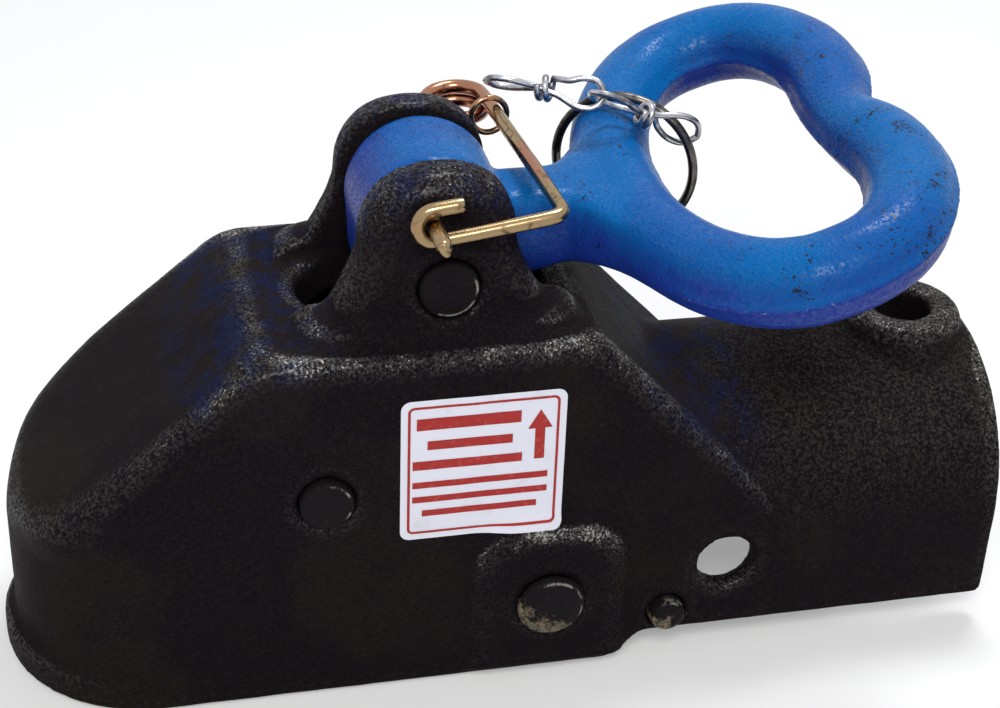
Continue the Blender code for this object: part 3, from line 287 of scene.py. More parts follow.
def put(tree, kind, settings=None, **values):
    """A node with its settings, and its inputs by name or as i0 and i1. A socket as a value is linked."""
    made = tree.nodes.new(kind)
    for key, value in (settings or {}).items():
        setattr(made, key, value)
    for key, value in values.items():
        name = key.replace("_", " ")
        target = made.inputs[int(key[1:])] if key[0] == "i" and key[1:].isdigit() else made.inputs[name]
        if isinstance(value, bpy.types.NodeSocket):
            tree.links.new(value, target)
        else:
            target.default_value = value
    return made


def sums(tree, operation, first, second=0.0):
    return put(tree, "ShaderNodeMath", {"operation": operation}, i0=first, i1=second).outputs[0]


def product(tree, *values):
    total = values[0]
    for value in values[1:]:
        total = sums(tree, "MULTIPLY", total, value)
    return total


def ramp(tree, factor, low, high):
    """A smooth mask that runs from 0 at low to 1 at high."""
    made = put(tree, "ShaderNodeMapRange", {"interpolation_type": "SMOOTHSTEP"}, Value=factor)
    made.inputs["From Min"].default_value = min(low, high)
    made.inputs["From Max"].default_value = max(low, high)
    made.inputs["To Min"].default_value = 0.0 if low < high else 1.0
    made.inputs["To Max"].default_value = 1.0 if low < high else 0.0
    return made.outputs["Result"]


def near_to(tree, value, middle, far, close):
    """1 where value is within close of middle, and 0 beyond far."""
    return ramp(tree, sums(tree, "ABSOLUTE", sums(tree, "SUBTRACT", value, middle)), far, close)


def blend_colour(tree, factor, first, second):
    made = tree.nodes.new("ShaderNodeMix")
    made.data_type = "RGBA"
    for socket, value in ((made.inputs[0], factor), (made.inputs[6], first), (made.inputs[7], second)):
        if isinstance(value, bpy.types.NodeSocket):
            tree.links.new(value, socket)
        else:
            socket.default_value = (*value, 1)
    return made.outputs[2]


def cloud(tree, where, scale, detail, seed, rough=0.5):
    """Soft noise from 0 to 1. A higher scale makes it finer."""
    return put(tree, "ShaderNodeTexNoise", {"noise_dimensions": "4D"}, Vector=where, W=seed, Scale=scale,
               Detail=detail, Roughness=rough).outputs["Fac"]


def place_effect(tree, effect, **values):
    return put(tree, "ShaderNodeGroup", {"node_tree": effect}, **values)


def new_finish(name, metallic=0.0, roughness=0.5, **constants):
    finish = bpy.data.materials.new(name)
    finish.use_nodes = True
    shader = finish.node_tree.nodes["Principled BSDF"]
    shader.inputs["Metallic"].default_value = metallic
    shader.inputs["Roughness"].default_value = roughness
    for key, value in constants.items():
        shader.inputs[key.replace("_", " ")].default_value = value
    return finish, finish.node_tree, shader


def feed(tree, shader, **values):
    """Links each value to the shader's input of that name."""
    for key, value in values.items():
        tree.links.new(value, shader.inputs[key.replace("_", " ")])


def relief(tree, height, strength, distance):
    return put(tree, "ShaderNodeBump", Strength=strength, Distance=distance, Height=height).outputs["Normal"]


def place_and_rise(tree):
    """The place on the piece, its x, y and z, and how far the surface faces up."""
    spot = tree.nodes.new("ShaderNodeTexCoord")
    parts = put(tree, "ShaderNodeSeparateXYZ", Vector=spot.outputs["Object"]).outputs
    rise = put(tree, "ShaderNodeSeparateXYZ", Vector=spot.outputs["Normal"]).outputs["Z"]
    return spot.outputs["Object"], parts["X"], parts["Y"], parts["Z"], rise


cast_skin, skin_in, skin_out = new_effect(
    "sand_cast_skin", {"Grain Scale": 1100.0, "Pit Amount": 0.5, "Bare Share": 0.0},
    ("Height", "Flecks", "Patches"))
skin_where = cast_skin.nodes.new("ShaderNodeTexCoord").outputs["Object"]
skin_cells = put(cast_skin, "ShaderNodeTexVoronoi", Vector=skin_where, Scale=skin_in.outputs["Grain Scale"])
skin_bead = product(cast_skin, ramp(cast_skin, skin_cells.outputs["Distance"], 0.55, 0.12), 0.55)
skin_fine = product(cast_skin, cloud(cast_skin, skin_where, 2300, detail=2, seed=2.9), 0.5)
skin_lumps = product(cast_skin, cloud(cast_skin, skin_where, 190, detail=4, seed=1.3), 1.6)
skin_pits = ramp(cast_skin, cloud(cast_skin, skin_where, 420, detail=3, seed=6.2), 0.60, 0.70)
skin_raised = sums(cast_skin, "ADD", sums(cast_skin, "ADD", skin_bead, skin_fine), skin_lumps)
skin_dug = product(cast_skin, skin_pits, skin_in.outputs["Pit Amount"])
skin_height = sums(cast_skin, "SUBTRACT", skin_raised, skin_dug)
skin_grit = cloud(cast_skin, skin_where, 1350, detail=3, seed=7.7, rough=0.62)
# The fleck share adds flecks: wear on the pins, wear and painted highlights on the head, painted glints on
# the handle.
skin_spread = sums(cast_skin, "ADD", skin_grit, product(cast_skin, skin_in.outputs["Bare Share"], 0.42))
skin_flecks = ramp(cast_skin, skin_spread, 0.66, 0.90)
skin_patches = ramp(cast_skin, cloud(cast_skin, skin_where, 26, detail=5, seed=4.4), 0.44, 0.62)
for skin_label, skin_value in (("Height", skin_height), ("Flecks", skin_flecks), ("Patches", skin_patches)):
    cast_skin.links.new(skin_value, skin_out.inputs[skin_label])

head_finish, head_tree, head_shader = new_finish(
    "blacked_cast_iron", roughness=0.5, Specular_IOR_Level=0.012, Coat_Roughness=0.3)
head_where, head_x, head_y, head_z, head_rise = place_and_rise(head_tree)
head_ridge = put(head_tree, "ShaderNodeAttribute", {"attribute_name": "ridge_sharpness"}).outputs["Fac"]
# Painted highlights: ridges that face up get more light flecks, more again along the near top edge and round
# the pad's arch, and fewer towards the nose.
head_lit_edge = product(head_tree, ramp(head_tree, head_ridge, 0.12, 0.9),
                        ramp(head_tree, head_rise, -0.25, 0.45))
head_side = ramp(head_tree, sums(head_tree, "ABSOLUTE", head_y), 0.012, 0.026)
head_top_edge_highlight = product(head_tree, ramp(head_tree, head_z, *top_edge_start),
                    ramp(head_tree, head_z, *top_edge_end), head_side)
head_pad_highlight = product(head_tree, near_to(head_tree, head_x, pad_middle.x, 0.030, 0.022),
                   near_to(head_tree, head_z, pad_arch_height, 0.013, 0.008))
head_extra_highlight = sums(head_tree, "ADD", product(head_tree, head_top_edge_highlight, 0.17), product(head_tree, head_pad_highlight, 0.62))
head_highlight_boost = product(head_tree, sums(head_tree, "ADD", 0.38, head_extra_highlight), ramp(head_tree, head_x, *nose_fade))
head_breaks = ramp(head_tree, cloud(head_tree, head_where, 120, detail=5, seed=7.0), 0.22, 0.66)
head_crown = product(head_tree, ramp(head_tree, head_x, *crown_flecks), 0.12)
# More flecks where the surface faces up, most of all on the crown.
head_topped = product(head_tree, ramp(head_tree, head_rise, 0.05, 0.8),
                      sums(head_tree, "ADD", head_crown, 0.10))
head_wear_and_highlight_share = sums(head_tree, "ADD", product(head_tree, head_lit_edge, head_breaks, head_highlight_boost), head_topped)
head_skin = place_effect(head_tree, cast_skin, Grain_Scale=1900.0, Pit_Amount=0.7, Bare_Share=head_wear_and_highlight_share)
head_flecks = head_skin.outputs["Flecks"]
head_grain = ramp(head_tree, cloud(head_tree, head_where, 1000, detail=3, seed=5.5, rough=0.6), 0.42, 0.64)
head_tint = sums(head_tree, "ADD", product(head_tree, head_skin.outputs["Patches"], 0.45),
                 product(head_tree, head_grain, 0.55))
head_colour = blend_colour(head_tree, head_tint, head_black, head_brown)
# Greyer where the crown faces up.
crown_zone = product(head_tree, ramp(head_tree, head_x, *crown_grey), ramp(head_tree, head_rise, -0.1, 0.7),
                     head_grain)
head_colour = blend_colour(head_tree, crown_zone, head_colour, head_grey)
spray_front = near_to(head_tree, head_x, spray_front_x, 0.026, 0.010)
spray_rear = near_to(head_tree, head_x, spray_rear_x, 0.024, 0.012)
spray_ears = product(head_tree, ramp(head_tree, head_z, *spray_ear_height), 0.9)
spray_near = sums(head_tree, "MAXIMUM", sums(head_tree, "MAXIMUM", spray_front, spray_rear), spray_ears)
spray_cloud = ramp(head_tree, cloud(head_tree, head_where, 110, detail=9, seed=3.1, rough=0.74), 0.44, 0.60)
spray_mask = product(head_tree, ramp(head_tree, head_z, *spray_height), spray_near, spray_cloud,
                     ramp(head_tree, head_rise, -0.1, 0.6), 0.55)
head_colour = blend_colour(head_tree, spray_mask, head_colour, head_overspray)
# Flecks in grey, partly the worn coat and partly painted sparkle; their brightest cores are painted glints in
# light grey.
head_colour = blend_colour(head_tree, head_flecks, head_colour, head_wear_and_sparkle_grey)
head_colour = blend_colour(head_tree, ramp(head_tree, head_flecks, 0.72, 1.0), head_colour, head_painted_glint)
feed(head_tree, head_shader, Base_Color=head_colour, Metallic=product(head_tree, head_flecks, 0.35),
     Roughness=sums(head_tree, "SUBTRACT", 0.50, product(head_tree, head_flecks, 0.22)),
     Coat_Weight=product(head_tree, head_lit_edge, head_grain, 0.5),
     Normal=relief(head_tree, head_skin.outputs["Height"], 1.0, 0.0004))

head_soft_places = (
    ((pad_middle.x, -0.044, pad_middle.z), (0.030, 0.012, 0.032), 3),
    ((pad_middle.x, 0.044, pad_middle.z), (0.030, 0.012, 0.032), 3),
    ((0.045, 0, 0.095), (0.030, 0.044, 0.025), 6))
head_copy = cast_copy("coupler_body", "cast_head", head_voxel, 2, head_lump, head_soft_places)
stand_for(head_copy, "coupler_body", "head", head_finish)


# Handle: one iron casting, hub, neck and dented loop, sprayed with blue gloss over the sand skin.
# A low ridge runs round the loop where the mould parted. The upper sides are scuffed dark.

# Painted light and shade: faces that turn up take the lighter, more cyan blue, the sides and underside the
# darker, more violet blue.
handle_lit_blue = (0.0020, 0.110, 0.355)
handle_shaded_blue = (0.0100, 0.034, 0.250)
handle_scuff = (0.0040, 0.0058, 0.020)
handle_grit = (0.20, 0.16, 0.10)
handle_glint_white = (0.45, 0.50, 0.58)
handle_pivot = Vector((-0.021, 0, 0.1235))
loop_middle = 0.091
loop_half_width = 0.0685
loop_rear = 0.033
loop_front = 0.0355
loop_dent = 0.0067
loop_dent_width = 0.022
loop_slope = math.radians(19)
loop_drop = 0.0125
bar_radius = 0.0117
bar_waist = 0.2
bar_waist_reach = 0.4
bar_ridge = 0.0012
bar_ridge_width = 0.11
bar_rings = 192
bar_sides = 56
neck_half_width = 0.012
neck_root_half_width = 0.046
neck_root = 0.004
neck_top = 0.0162
neck_depth = 0.027
neck_flare_start = 0.62
neck_rise_start = 0.35
neck_squareness = 0.55
neck_grit_x = 0.009
hub_shade = (-0.042, -0.028)
rear_scuffs = (0.070, 0.100)
handle_voxel = 0.00085
handle_lump = 0.00013


def skinned(name, rings, closed):
    """A mesh through a row of equal rings. The ends are capped unless it closes on itself."""
    bm = bmesh.new()
    made = [[bm.verts.new(point) for point in ring] for ring in rings]
    for ring, following in list(zip(made, made[1:])) + ([(made[-1], made[0])] if closed else []):
        for i in range(len(ring)):
            j = (i + 1) % len(ring)
            bm.faces.new((ring[i], ring[j], following[j], following[i]))
    if not closed:
        bm.faces.new(made[0])
        bm.faces.new(made[-1])
    bmesh.ops.recalc_face_normals(bm, faces=bm.faces)
    mesh = bpy.data.meshes.new(name)
    bm.to_mesh(mesh)
    bm.free()
    return mesh


def loop_line(angle):
    """The loop bar's middle line: an oval, squarer and dented at the rear, that slopes up."""
    to_rear = math.cos(angle) > 0
    power = 2.6 if to_rear else 2.0
    across = abs(math.sin(angle)) / loop_half_width
    along = abs(math.cos(angle)) / (loop_rear if to_rear else loop_front)
    reach = (across ** power + along ** power) ** (-1 / power)
    y = reach * math.sin(angle)
    x = loop_middle + reach * math.cos(angle)
    if to_rear:
        x -= loop_dent * math.exp(-(y / loop_dent_width) ** 2)
    return handle_pivot + Vector((x, y, x * math.tan(loop_slope) - loop_drop))


def loop_skin():
    """The loop's bar, with the low ridge of the parting line on its inner and outer side."""
    normal = Vector((-math.sin(loop_slope), 0, math.cos(loop_slope)))
    rings = []
    for i in range(bar_rings):
        angle = 2 * math.pi * i / bar_rings
        middle = loop_line(angle)
        along = (loop_line(angle + 0.02) - loop_line(angle - 0.02)).normalized()
        outward = along.cross(normal).normalized()
        turn = min(angle, 2 * math.pi - angle)
        radius = bar_radius * (1 - bar_waist * math.exp(-(turn / bar_waist_reach) ** 2))
        ring = []
        for k in range(bar_sides):
            around = 2 * math.pi * k / bar_sides
            reach = radius + bar_ridge * math.exp(-(math.sin(around) / bar_ridge_width) ** 2)
            ring.append(middle + outward * (reach * math.cos(around)) + normal * (reach * math.sin(around)))
        rings.append(ring)
    return skinned("loop_skin", rings, True)


def neck_skin():
    """The neck from the hub to the loop, which widens where it meets the bar."""
    end = loop_middle - loop_front
    end_middle = end * math.tan(loop_slope) - loop_drop
    end_half = 0.82 * bar_radius
    rings = []
    for i in range(41):
        t = i / 40
        swell = max(0.0, (t - neck_flare_start) / (1 - neck_flare_start)) ** 1.25
        half_width = neck_half_width + (neck_root_half_width - neck_half_width) * swell
        ease = min(max((t - neck_rise_start) / (1 - neck_rise_start), 0.0), 1.0)
        ease = ease * ease * (3 - 2 * ease)
        top = neck_top * (1 - ease) + (end_middle + end_half) * ease
        bottom = (neck_top - neck_depth) * (1 - ease) + (end_middle - end_half) * ease
        ring = []
        for k in range(48):
            around = 2 * math.pi * k / 48
            side = math.copysign(abs(math.cos(around)) ** neck_squareness, math.cos(around))
            up = math.copysign(abs(math.sin(around)) ** neck_squareness, math.sin(around))
            height = (top + bottom) / 2 + (top - bottom) / 2 * up
            ring.append(handle_pivot + Vector((neck_root + (end - neck_root) * t, half_width * side, height)))
        rings.append(ring)
    return skinned("neck_skin", rings, False)


handle_finish, handle_tree, handle_shader = new_finish(
    "blue_gloss", roughness=0.34, Specular_IOR_Level=0.05, Coat_Roughness=0.2)
handle_where, handle_x, _, _, handle_rise = place_and_rise(handle_tree)
handle_ridge = put(handle_tree, "ShaderNodeAttribute", {"attribute_name": "ridge_sharpness"}).outputs["Fac"]
handle_ridges = ramp(handle_tree, handle_ridge, 0.5, 1.4)
handle_skin = place_effect(handle_tree, cast_skin, Grain_Scale=900.0, Pit_Amount=0.9,
                           Bare_Share=product(handle_tree, handle_ridges, 0.3))
handle_thin = product(handle_tree, handle_skin.outputs["Patches"], 0.35)
# Painted light: the lighter blue follows how far a face turns up; thin patches of coat pull it back to the
# darker blue.
handle_painted_light_share = sums(handle_tree, "SUBTRACT", ramp(handle_tree, handle_rise, -0.35, 0.75), handle_thin)
# Painted shade: the hub's front end, between the ears, is kept in the darker blue.
handle_painted_light_share = product(handle_tree, handle_painted_light_share, ramp(handle_tree, handle_x, *hub_shade))
handle_painted_light_share = sums(handle_tree, "MAXIMUM", handle_painted_light_share, 0.0)
handle_colour = blend_colour(handle_tree, handle_painted_light_share, handle_shaded_blue, handle_lit_blue)
scuff_grit = cloud(handle_tree, handle_where, 900, detail=4, seed=5.0, rough=0.65)
scuff_cloud = product(handle_tree, cloud(handle_tree, handle_where, 62, detail=9, seed=2.0, rough=0.74), 0.85)
scuff_rear = product(handle_tree, ramp(handle_tree, handle_x, *rear_scuffs), 0.05)
scuff_dense = sums(handle_tree, "ADD", sums(handle_tree, "ADD", scuff_cloud, scuff_rear), scuff_grit)
scuff_mask = product(handle_tree, ramp(handle_tree, scuff_dense, 1.04, 1.14),
                     ramp(handle_tree, handle_rise, -0.9, -0.2))
handle_colour = blend_colour(handle_tree, scuff_mask, handle_colour, handle_scuff)
grit_mask = product(handle_tree, near_to(handle_tree, handle_x, neck_grit_x, 0.010, 0.003), handle_ridges,
                    ramp(handle_tree, scuff_grit, 0.40, 0.55))
handle_colour = blend_colour(handle_tree, grit_mask, handle_colour, handle_grit)
# Painted glints: white highlight specks on the ridges.
handle_glints = product(handle_tree, handle_skin.outputs["Flecks"], handle_ridges, 0.6)
handle_colour = blend_colour(handle_tree, handle_glints, handle_colour, handle_glint_white)
feed(handle_tree, handle_shader, Base_Color=handle_colour,
     Roughness=sums(handle_tree, "ADD", 0.34, product(handle_tree, scuff_mask, 0.3)),
     Coat_Weight=product(handle_tree, ramp(handle_tree, scuff_grit, 0.44, 0.60), 0.3),
     Normal=relief(handle_tree, handle_skin.outputs["Height"], 0.7, 0.0003))

handle_soft_places = [((0.036, side * 0.026, 0.128), (0.024, 0.030, 0.030), 45) for side in (-1, 1)]
handle_copy = cast_copy("pull_handle", "blue_handle", handle_voxel, 1, handle_lump, handle_soft_places,
                        (loop_skin(), neck_skin()))
stand_for(handle_copy, "pull_handle", "handle", handle_finish)


# Cross pins: cut from bar, pushed through and peened over, then blacked with the head.
# The two low ones are scraped bare on the lower half of their faces, where they rub on the ground.

pin_black = (0.0070, 0.0054, 0.0068)
pin_bare = (0.20, 0.165, 0.115)
pin_lip_highlight = (0.24, 0.23, 0.20)
sharp_turn = math.radians(64)
edge_crispness = 0.8
round_levels = 2


def round_copy(node, name):
    """A rounder copy of a turned or bent CAD node, pushed back out to the node's own radius."""
    bm = bmesh.new()
    bm.from_mesh(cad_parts[node].data)
    bmesh.ops.remove_doubles(bm, verts=bm.verts, dist=weld_reach)
    bmesh.ops.dissolve_degenerate(bm, edges=bm.edges, dist=weld_reach)
    bmesh.ops.join_triangles(bm, faces=bm.faces, angle_face_threshold=math.radians(50),
                             angle_shape_threshold=math.radians(60))
    creases = bm.edges.layers.float.new("crease_edge")
    for edge in bm.edges:
        if edge.is_manifold and edge.calc_face_angle() > sharp_turn:
            edge[creases] = edge_crispness
    rough = bpy.data.meshes.new(name + "_rough")
    bm.to_mesh(rough)
    bm.free()
    source = bpy.data.objects.new(name + "_rough", rough)
    scene.collection.objects.link(source)
    finer = source.modifiers.new("finer", "SUBSURF")
    finer.levels = round_levels
    finer.render_levels = round_levels
    made = bpy.data.meshes.new_from_object(source.evaluated_get(bpy.context.evaluated_depsgraph_get()))
    before = np.empty(len(rough.vertices) * 3)
    rough.vertices.foreach_get("co", before)
    after = np.empty(len(made.vertices) * 3)
    made.vertices.foreach_get("co", after)
    normals = np.empty(len(made.vertices) * 3)
    made.vertex_normals.foreach_get("vector", normals)
    before, after, normals = (values.reshape(-1, 3) for values in (before, after, normals))
    count = len(before)
    shrunk = float(np.median(((before - after[:count]) * normals[:count]).sum(axis=1)))
    made.vertices.foreach_set("co", (after + normals * max(shrunk, 0.0)).ravel())
    made.update()
    bpy.data.objects.remove(source)
    bpy.data.meshes.remove(rough)
    made.name = name
    made.shade_smooth()
    copy = bpy.data.objects.new(name, made)
    scene.collection.objects.link(copy)
    return copy


def pin_finish(name, node, bare_share, lip_side, seed):
    """Black, with bare metal low on the face by a share, and a thin lip painted light on one side as a
    painted highlight.
    """
    finish, tree, shader = new_finish(name, roughness=0.45, Specular_IOR_Level=0.06)
    low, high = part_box(node)
    where = tree.nodes.new("ShaderNodeTexCoord").outputs["Object"]
    place = put(tree, "ShaderNodeSeparateXYZ", Vector=where).outputs
    across = sums(tree, "SUBTRACT", place["X"], (low.x + high.x) / 2)
    above = sums(tree, "SUBTRACT", place["Z"], (low.z + high.z) / 2)
    radius = (high.z - low.z) / 2
    skin = place_effect(tree, cast_skin, Grain_Scale=1700.0, Pit_Amount=0.6, Bare_Share=0.15)
    scrapes = product(tree, cloud(tree, where, 260, detail=7, seed=seed, rough=0.7), 2.2)
    fall = product(tree, sums(tree, "ADD", above, product(tree, across, 0.6)), 0.55 / radius)
    bare = ramp(tree, sums(tree, "SUBTRACT", sums(tree, "ADD", scrapes, bare_share), fall), 1.35, 1.50)
    bare = sums(tree, "MAXIMUM", bare, product(tree, skin.outputs["Flecks"], 0.45))
    reach = sums(tree, "SQRT", sums(tree, "ADD", product(tree, across, across), product(tree, above, above)))
    # Painted highlight: a thin light line just inside the rim of the face, on one side only.
    line = near_to(tree, reach, radius * 0.88, 0.00045, 0.0001)
    towards = product(tree, sums(tree, "ADD", across, product(tree, above, lip_side)), 1 / radius)
    lip = product(tree, line, ramp(tree, towards, 0.25, 0.6),
                  ramp(tree, cloud(tree, where, 330, detail=3, seed=seed + 2), 0.42, 0.56))
    streaks = ramp(tree, cloud(tree, where, 800, detail=4, seed=seed + 1, rough=0.7), 0.38, 0.62)
    shade = blend_colour(tree, streaks, pin_bare, tuple(value * 0.22 for value in pin_bare))
    colour = blend_colour(tree, lip, blend_colour(tree, bare, pin_black, shade), pin_lip_highlight)
    height = sums(tree, "ADD", skin.outputs["Height"], product(tree, bare, 0.6))
    feed(tree, shader, Base_Color=colour, Metallic=product(tree, bare, 0.35),
         Roughness=sums(tree, "SUBTRACT", 0.5, product(tree, bare, 0.1)),
         Normal=relief(tree, height, 0.8, 0.0003))
    return finish


for pin_node, pin_name, pin_share, pin_side, pin_seed in (
        ("handle_pivot_pin", "blacked_pivot_pin", -1.2, -1.0, 1.0),
        ("clamp_pin", "blacked_clamp_pin", -1.2, 0.6, 2.0),
        ("guide_pin", "scraped_guide_pin", 0.10, 0.8, 3.4),
        ("drawbar_stop_pin", "scraped_stop_pin", 0.12, 0.9, 5.1)):
    stand_for(round_copy(pin_node, pin_node + "_turned"), pin_node, "head",
              pin_finish(pin_name, pin_node, pin_share, pin_side, pin_seed))


# Works inside the head: a cast clamp, pressed link plates with turned pins, and a rod with its spring.
# All of it is left oily and dark, with bright rubbed places where steel runs on steel.

works_dark = (0.055, 0.050, 0.045)
works_plate = (0.16, 0.155, 0.15)
works_turned = (0.30, 0.29, 0.28)
works_wire = (0.20, 0.20, 0.21)
works_rubbed = (0.42, 0.40, 0.37)

edge_rub, rub_in, rub_out = new_effect(
    "edge_rub", {"Reach": 0.003, "Breakup Scale": 300.0, "Start": 0.02, "End": 0.12}, ("Mask",))
rub_where = edge_rub.nodes.new("ShaderNodeTexCoord").outputs["Object"]
rub_round = put(edge_rub, "ShaderNodeBevel", {"samples": 6}, Radius=rub_in.outputs["Reach"]).outputs["Normal"]
rub_flat = edge_rub.nodes.new("ShaderNodeNewGeometry").outputs["Normal"]
rub_dot = put(edge_rub, "ShaderNodeVectorMath", {"operation": "DOT_PRODUCT"}, i0=rub_round, i1=rub_flat)
rub_turn = sums(edge_rub, "SUBTRACT", 1.0, rub_dot.outputs["Value"])
rub_noise = put(edge_rub, "ShaderNodeTexNoise", Vector=rub_where, Scale=rub_in.outputs["Breakup Scale"],
                Detail=4.0).outputs["Fac"]
rub_broken = product(edge_rub, rub_turn, ramp(edge_rub, rub_noise, 0.35, 0.7))
rub_mask = put(edge_rub, "ShaderNodeMapRange", {"interpolation_type": "SMOOTHSTEP"}, Value=rub_broken,
               From_Min=rub_in.outputs["Start"], From_Max=rub_in.outputs["End"]).outputs["Result"]
edge_rub.links.new(rub_mask, rub_out.inputs["Mask"])


def works_finish(name, shade, roughness, grain):
    finish, tree, shader = new_finish(name, metallic=1.0, roughness=roughness)
    skin = place_effect(tree, cast_skin, Grain_Scale=grain, Pit_Amount=0.3)
    rub = place_effect(tree, edge_rub, Reach=0.0012, Breakup_Scale=260.0, Start=0.01, End=0.12)
    colour = blend_colour(tree, skin.outputs["Patches"], shade, tuple(value * 0.55 for value in shade))
    feed(tree, shader, Base_Color=blend_colour(tree, rub.outputs["Mask"], colour, works_rubbed),
         Roughness=sums(tree, "ADD", roughness, product(tree, skin.outputs["Patches"], 0.18)),
         Normal=relief(tree, skin.outputs["Height"], 0.35, 0.0002))
    return finish


def give_finish(node, finish):
    """Sets a finish on a CAD node that is shown as it is."""
    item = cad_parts[node]
    item.data.materials.clear()
    item.data.materials.append(finish)
    for polygon in item.data.polygons:
        polygon.material_index = 0


give_finish("ball_clamp", works_finish("oiled_clamp_iron", works_dark, 0.45, 900.0))
plate_finish = works_finish("oiled_plate_steel", works_plate, 0.35, 1400.0)
turned_finish = works_finish("oiled_turned_steel", works_turned, 0.28, 1800.0)
for plate in ("link_plate_near", "link_plate_far"):
    give_finish(plate, plate_finish)
for turned_part in ("link_pin_upper", "link_pin_lower", "spring_guide"):
    give_finish(turned_part, turned_finish)
give_finish("clamp_spring", works_finish("oiled_spring_wire", works_wire, 0.25, 1500.0))


# Safety pin, with the small ring on its arm: bent from round spring wire and plated yellow.
# The plating is brassy on the straight runs, coppery on the coil, and dulls to brown in streaks.

plate_gold = (0.33, 0.235, 0.125)
plate_copper = (0.36, 0.17, 0.105)
plate_brown = (0.07, 0.042, 0.026)
coil_start = (0.026, 0.036)

zinc_finish, zinc_tree, zinc_shader = new_finish("yellow_plated_wire", metallic=1.0, roughness=0.24)
zinc_where = zinc_tree.nodes.new("ShaderNodeTexCoord").outputs["Object"]
zinc_y = put(zinc_tree, "ShaderNodeSeparateXYZ", Vector=zinc_where).outputs["Y"]
zinc_drift = ramp(zinc_tree, cloud(zinc_tree, zinc_where, 55, detail=3, seed=1.7), 0.50, 0.66)
zinc_rosy = sums(zinc_tree, "MAXIMUM", zinc_drift, ramp(zinc_tree, zinc_y, *coil_start))
zinc_colour = blend_colour(zinc_tree, zinc_rosy, plate_gold, plate_copper)
zinc_spots = cloud(zinc_tree, zinc_where, 380, detail=5, seed=2.6)
zinc_dull = ramp(zinc_tree, zinc_spots, 0.54, 0.68)
zinc_colour = blend_colour(zinc_tree, product(zinc_tree, zinc_dull, 0.75), zinc_colour, plate_brown)
feed(zinc_tree, zinc_shader, Base_Color=zinc_colour,
     Roughness=sums(zinc_tree, "ADD", 0.2, product(zinc_tree, zinc_dull, 0.25)),
     Normal=relief(zinc_tree, zinc_spots, 0.25, 0.0001))
for wire_node, wire_body in (
        ("safety_pin_leg", "pin_leg"), ("safety_pin_spring", "pin_arm"), ("coil_ring", "coil_ring")):
    wire_copy = round_copy(wire_node, wire_node + "_round")
    stand_for(wire_copy, wire_node, wire_body, zinc_finish)


# Tether: two knotted links of bright galvanised wire, and a dark wire ring round the handle's arm.
# Each link is bent from one wire, with its ends wound round its own waist. The ring is sprung open to go on.

chain_bright = (0.48, 0.49, 0.53)
chain_shade = (0.16, 0.165, 0.18)
ring_dark = (0.030, 0.028, 0.028)
ring_worn = (0.14, 0.13, 0.12)


def bright_wire(name, light, dark, roughness):
    finish, tree, shader = new_finish(name, metallic=1.0, roughness=roughness)
    where = tree.nodes.new("ShaderNodeTexCoord").outputs["Object"]
    drift = cloud(tree, where, 210, detail=5, seed=3.3)
    dull = ramp(tree, drift, 0.44, 0.64)
    feed(tree, shader, Base_Color=blend_colour(tree, dull, light, dark),
         Roughness=sums(tree, "ADD", roughness, product(tree, dull, 0.2)),
         Normal=relief(tree, drift, 0.25, 0.0001))
    return finish


chain_finish = bright_wire("galvanised_wire", chain_bright, chain_shade, 0.22)
for link_name in ("chain_link_1", "chain_link_2"):
    link_copy = round_copy(link_name, link_name + "_round")
    stand_for(link_copy, link_name, link_name, chain_finish)
stand_for(round_copy("neck_ring", "neck_ring_round"), "neck_ring", "neck_ring",
          bright_wire("dark_ring_wire", ring_worn, ring_dark, 0.28))


# Label: a white paper sticker, held by its glue on the near flank, with round corners.
# It is printed in red with a thin frame, plain bars and an arrow.

label_left = -0.0358
label_right = 0.0098
label_low = 0.0521
label_high = 0.0969
label_corner = 0.0028
label_columns = 40
label_rows = 48
label_stand_off = 0.00012
label_white = (0.70, 0.71, 0.80)
label_grey = (0.45, 0.43, 0.42)
label_red = (0.34, 0.016, 0.014)
label_faded = (0.46, 0.07, 0.06)
print_depth = 0.00008
print_step = 0.001
straight_pieces = 40
label_tree = BVHTree.FromObject(head_copy, bpy.context.evaluated_depsgraph_get())


def on_flank(x, z, lift):
    """The point of the near flank at x and z, lifted off by a little."""
    hit = label_tree.ray_cast(Vector((x, -0.2, z)), Vector((0, 1, 0)))[0]
    return Vector((x, hit.y - lift, z))


def flank_sheet(name, columns, steps, lift, finish):
    """A thin sheet on the flank: a grid between two edges given as (x, z) curves."""
    bm = bmesh.new()
    rows = []
    for lower, upper in columns:
        rows.append([bm.verts.new(on_flank(lower[0] + (upper[0] - lower[0]) * i / steps,
                                           lower[1] + (upper[1] - lower[1]) * i / steps, lift))
                     for i in range(steps + 1)])
    for row, following in zip(rows, rows[1:]):
        for i in range(steps):
            bm.faces.new((row[i], following[i], following[i + 1], row[i + 1]))
    bmesh.ops.recalc_face_normals(bm, faces=bm.faces)
    mesh = bpy.data.meshes.new(name)
    bm.to_mesh(mesh)
    bm.free()
    mesh.shade_smooth()
    mesh.materials.append(finish)
    sheet = bpy.data.objects.new(name, mesh)
    scene.collection.objects.link(sheet)
    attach(sheet, "head")


def rounded_sheet(left, right, low, high, corner, columns):
    """Lower and upper edge of a rectangle with round corners, from left to right."""
    edges = []
    for i in range(9):
        turn = math.pi / 2 * i / 8
        reach = corner * (1 - math.sin(turn))
        x = left + corner * (1 - math.cos(turn))
        edges.append(((x, low + reach), (x, high - reach)))
    for i in range(1, columns):
        x = left + corner + (right - left - 2 * corner) * i / columns
        edges.append(((x, low), (x, high)))
    for lower, upper in reversed(edges[:9]):
        edges.append(((left + right - lower[0], lower[1]), (left + right - upper[0], upper[1])))
    return edges


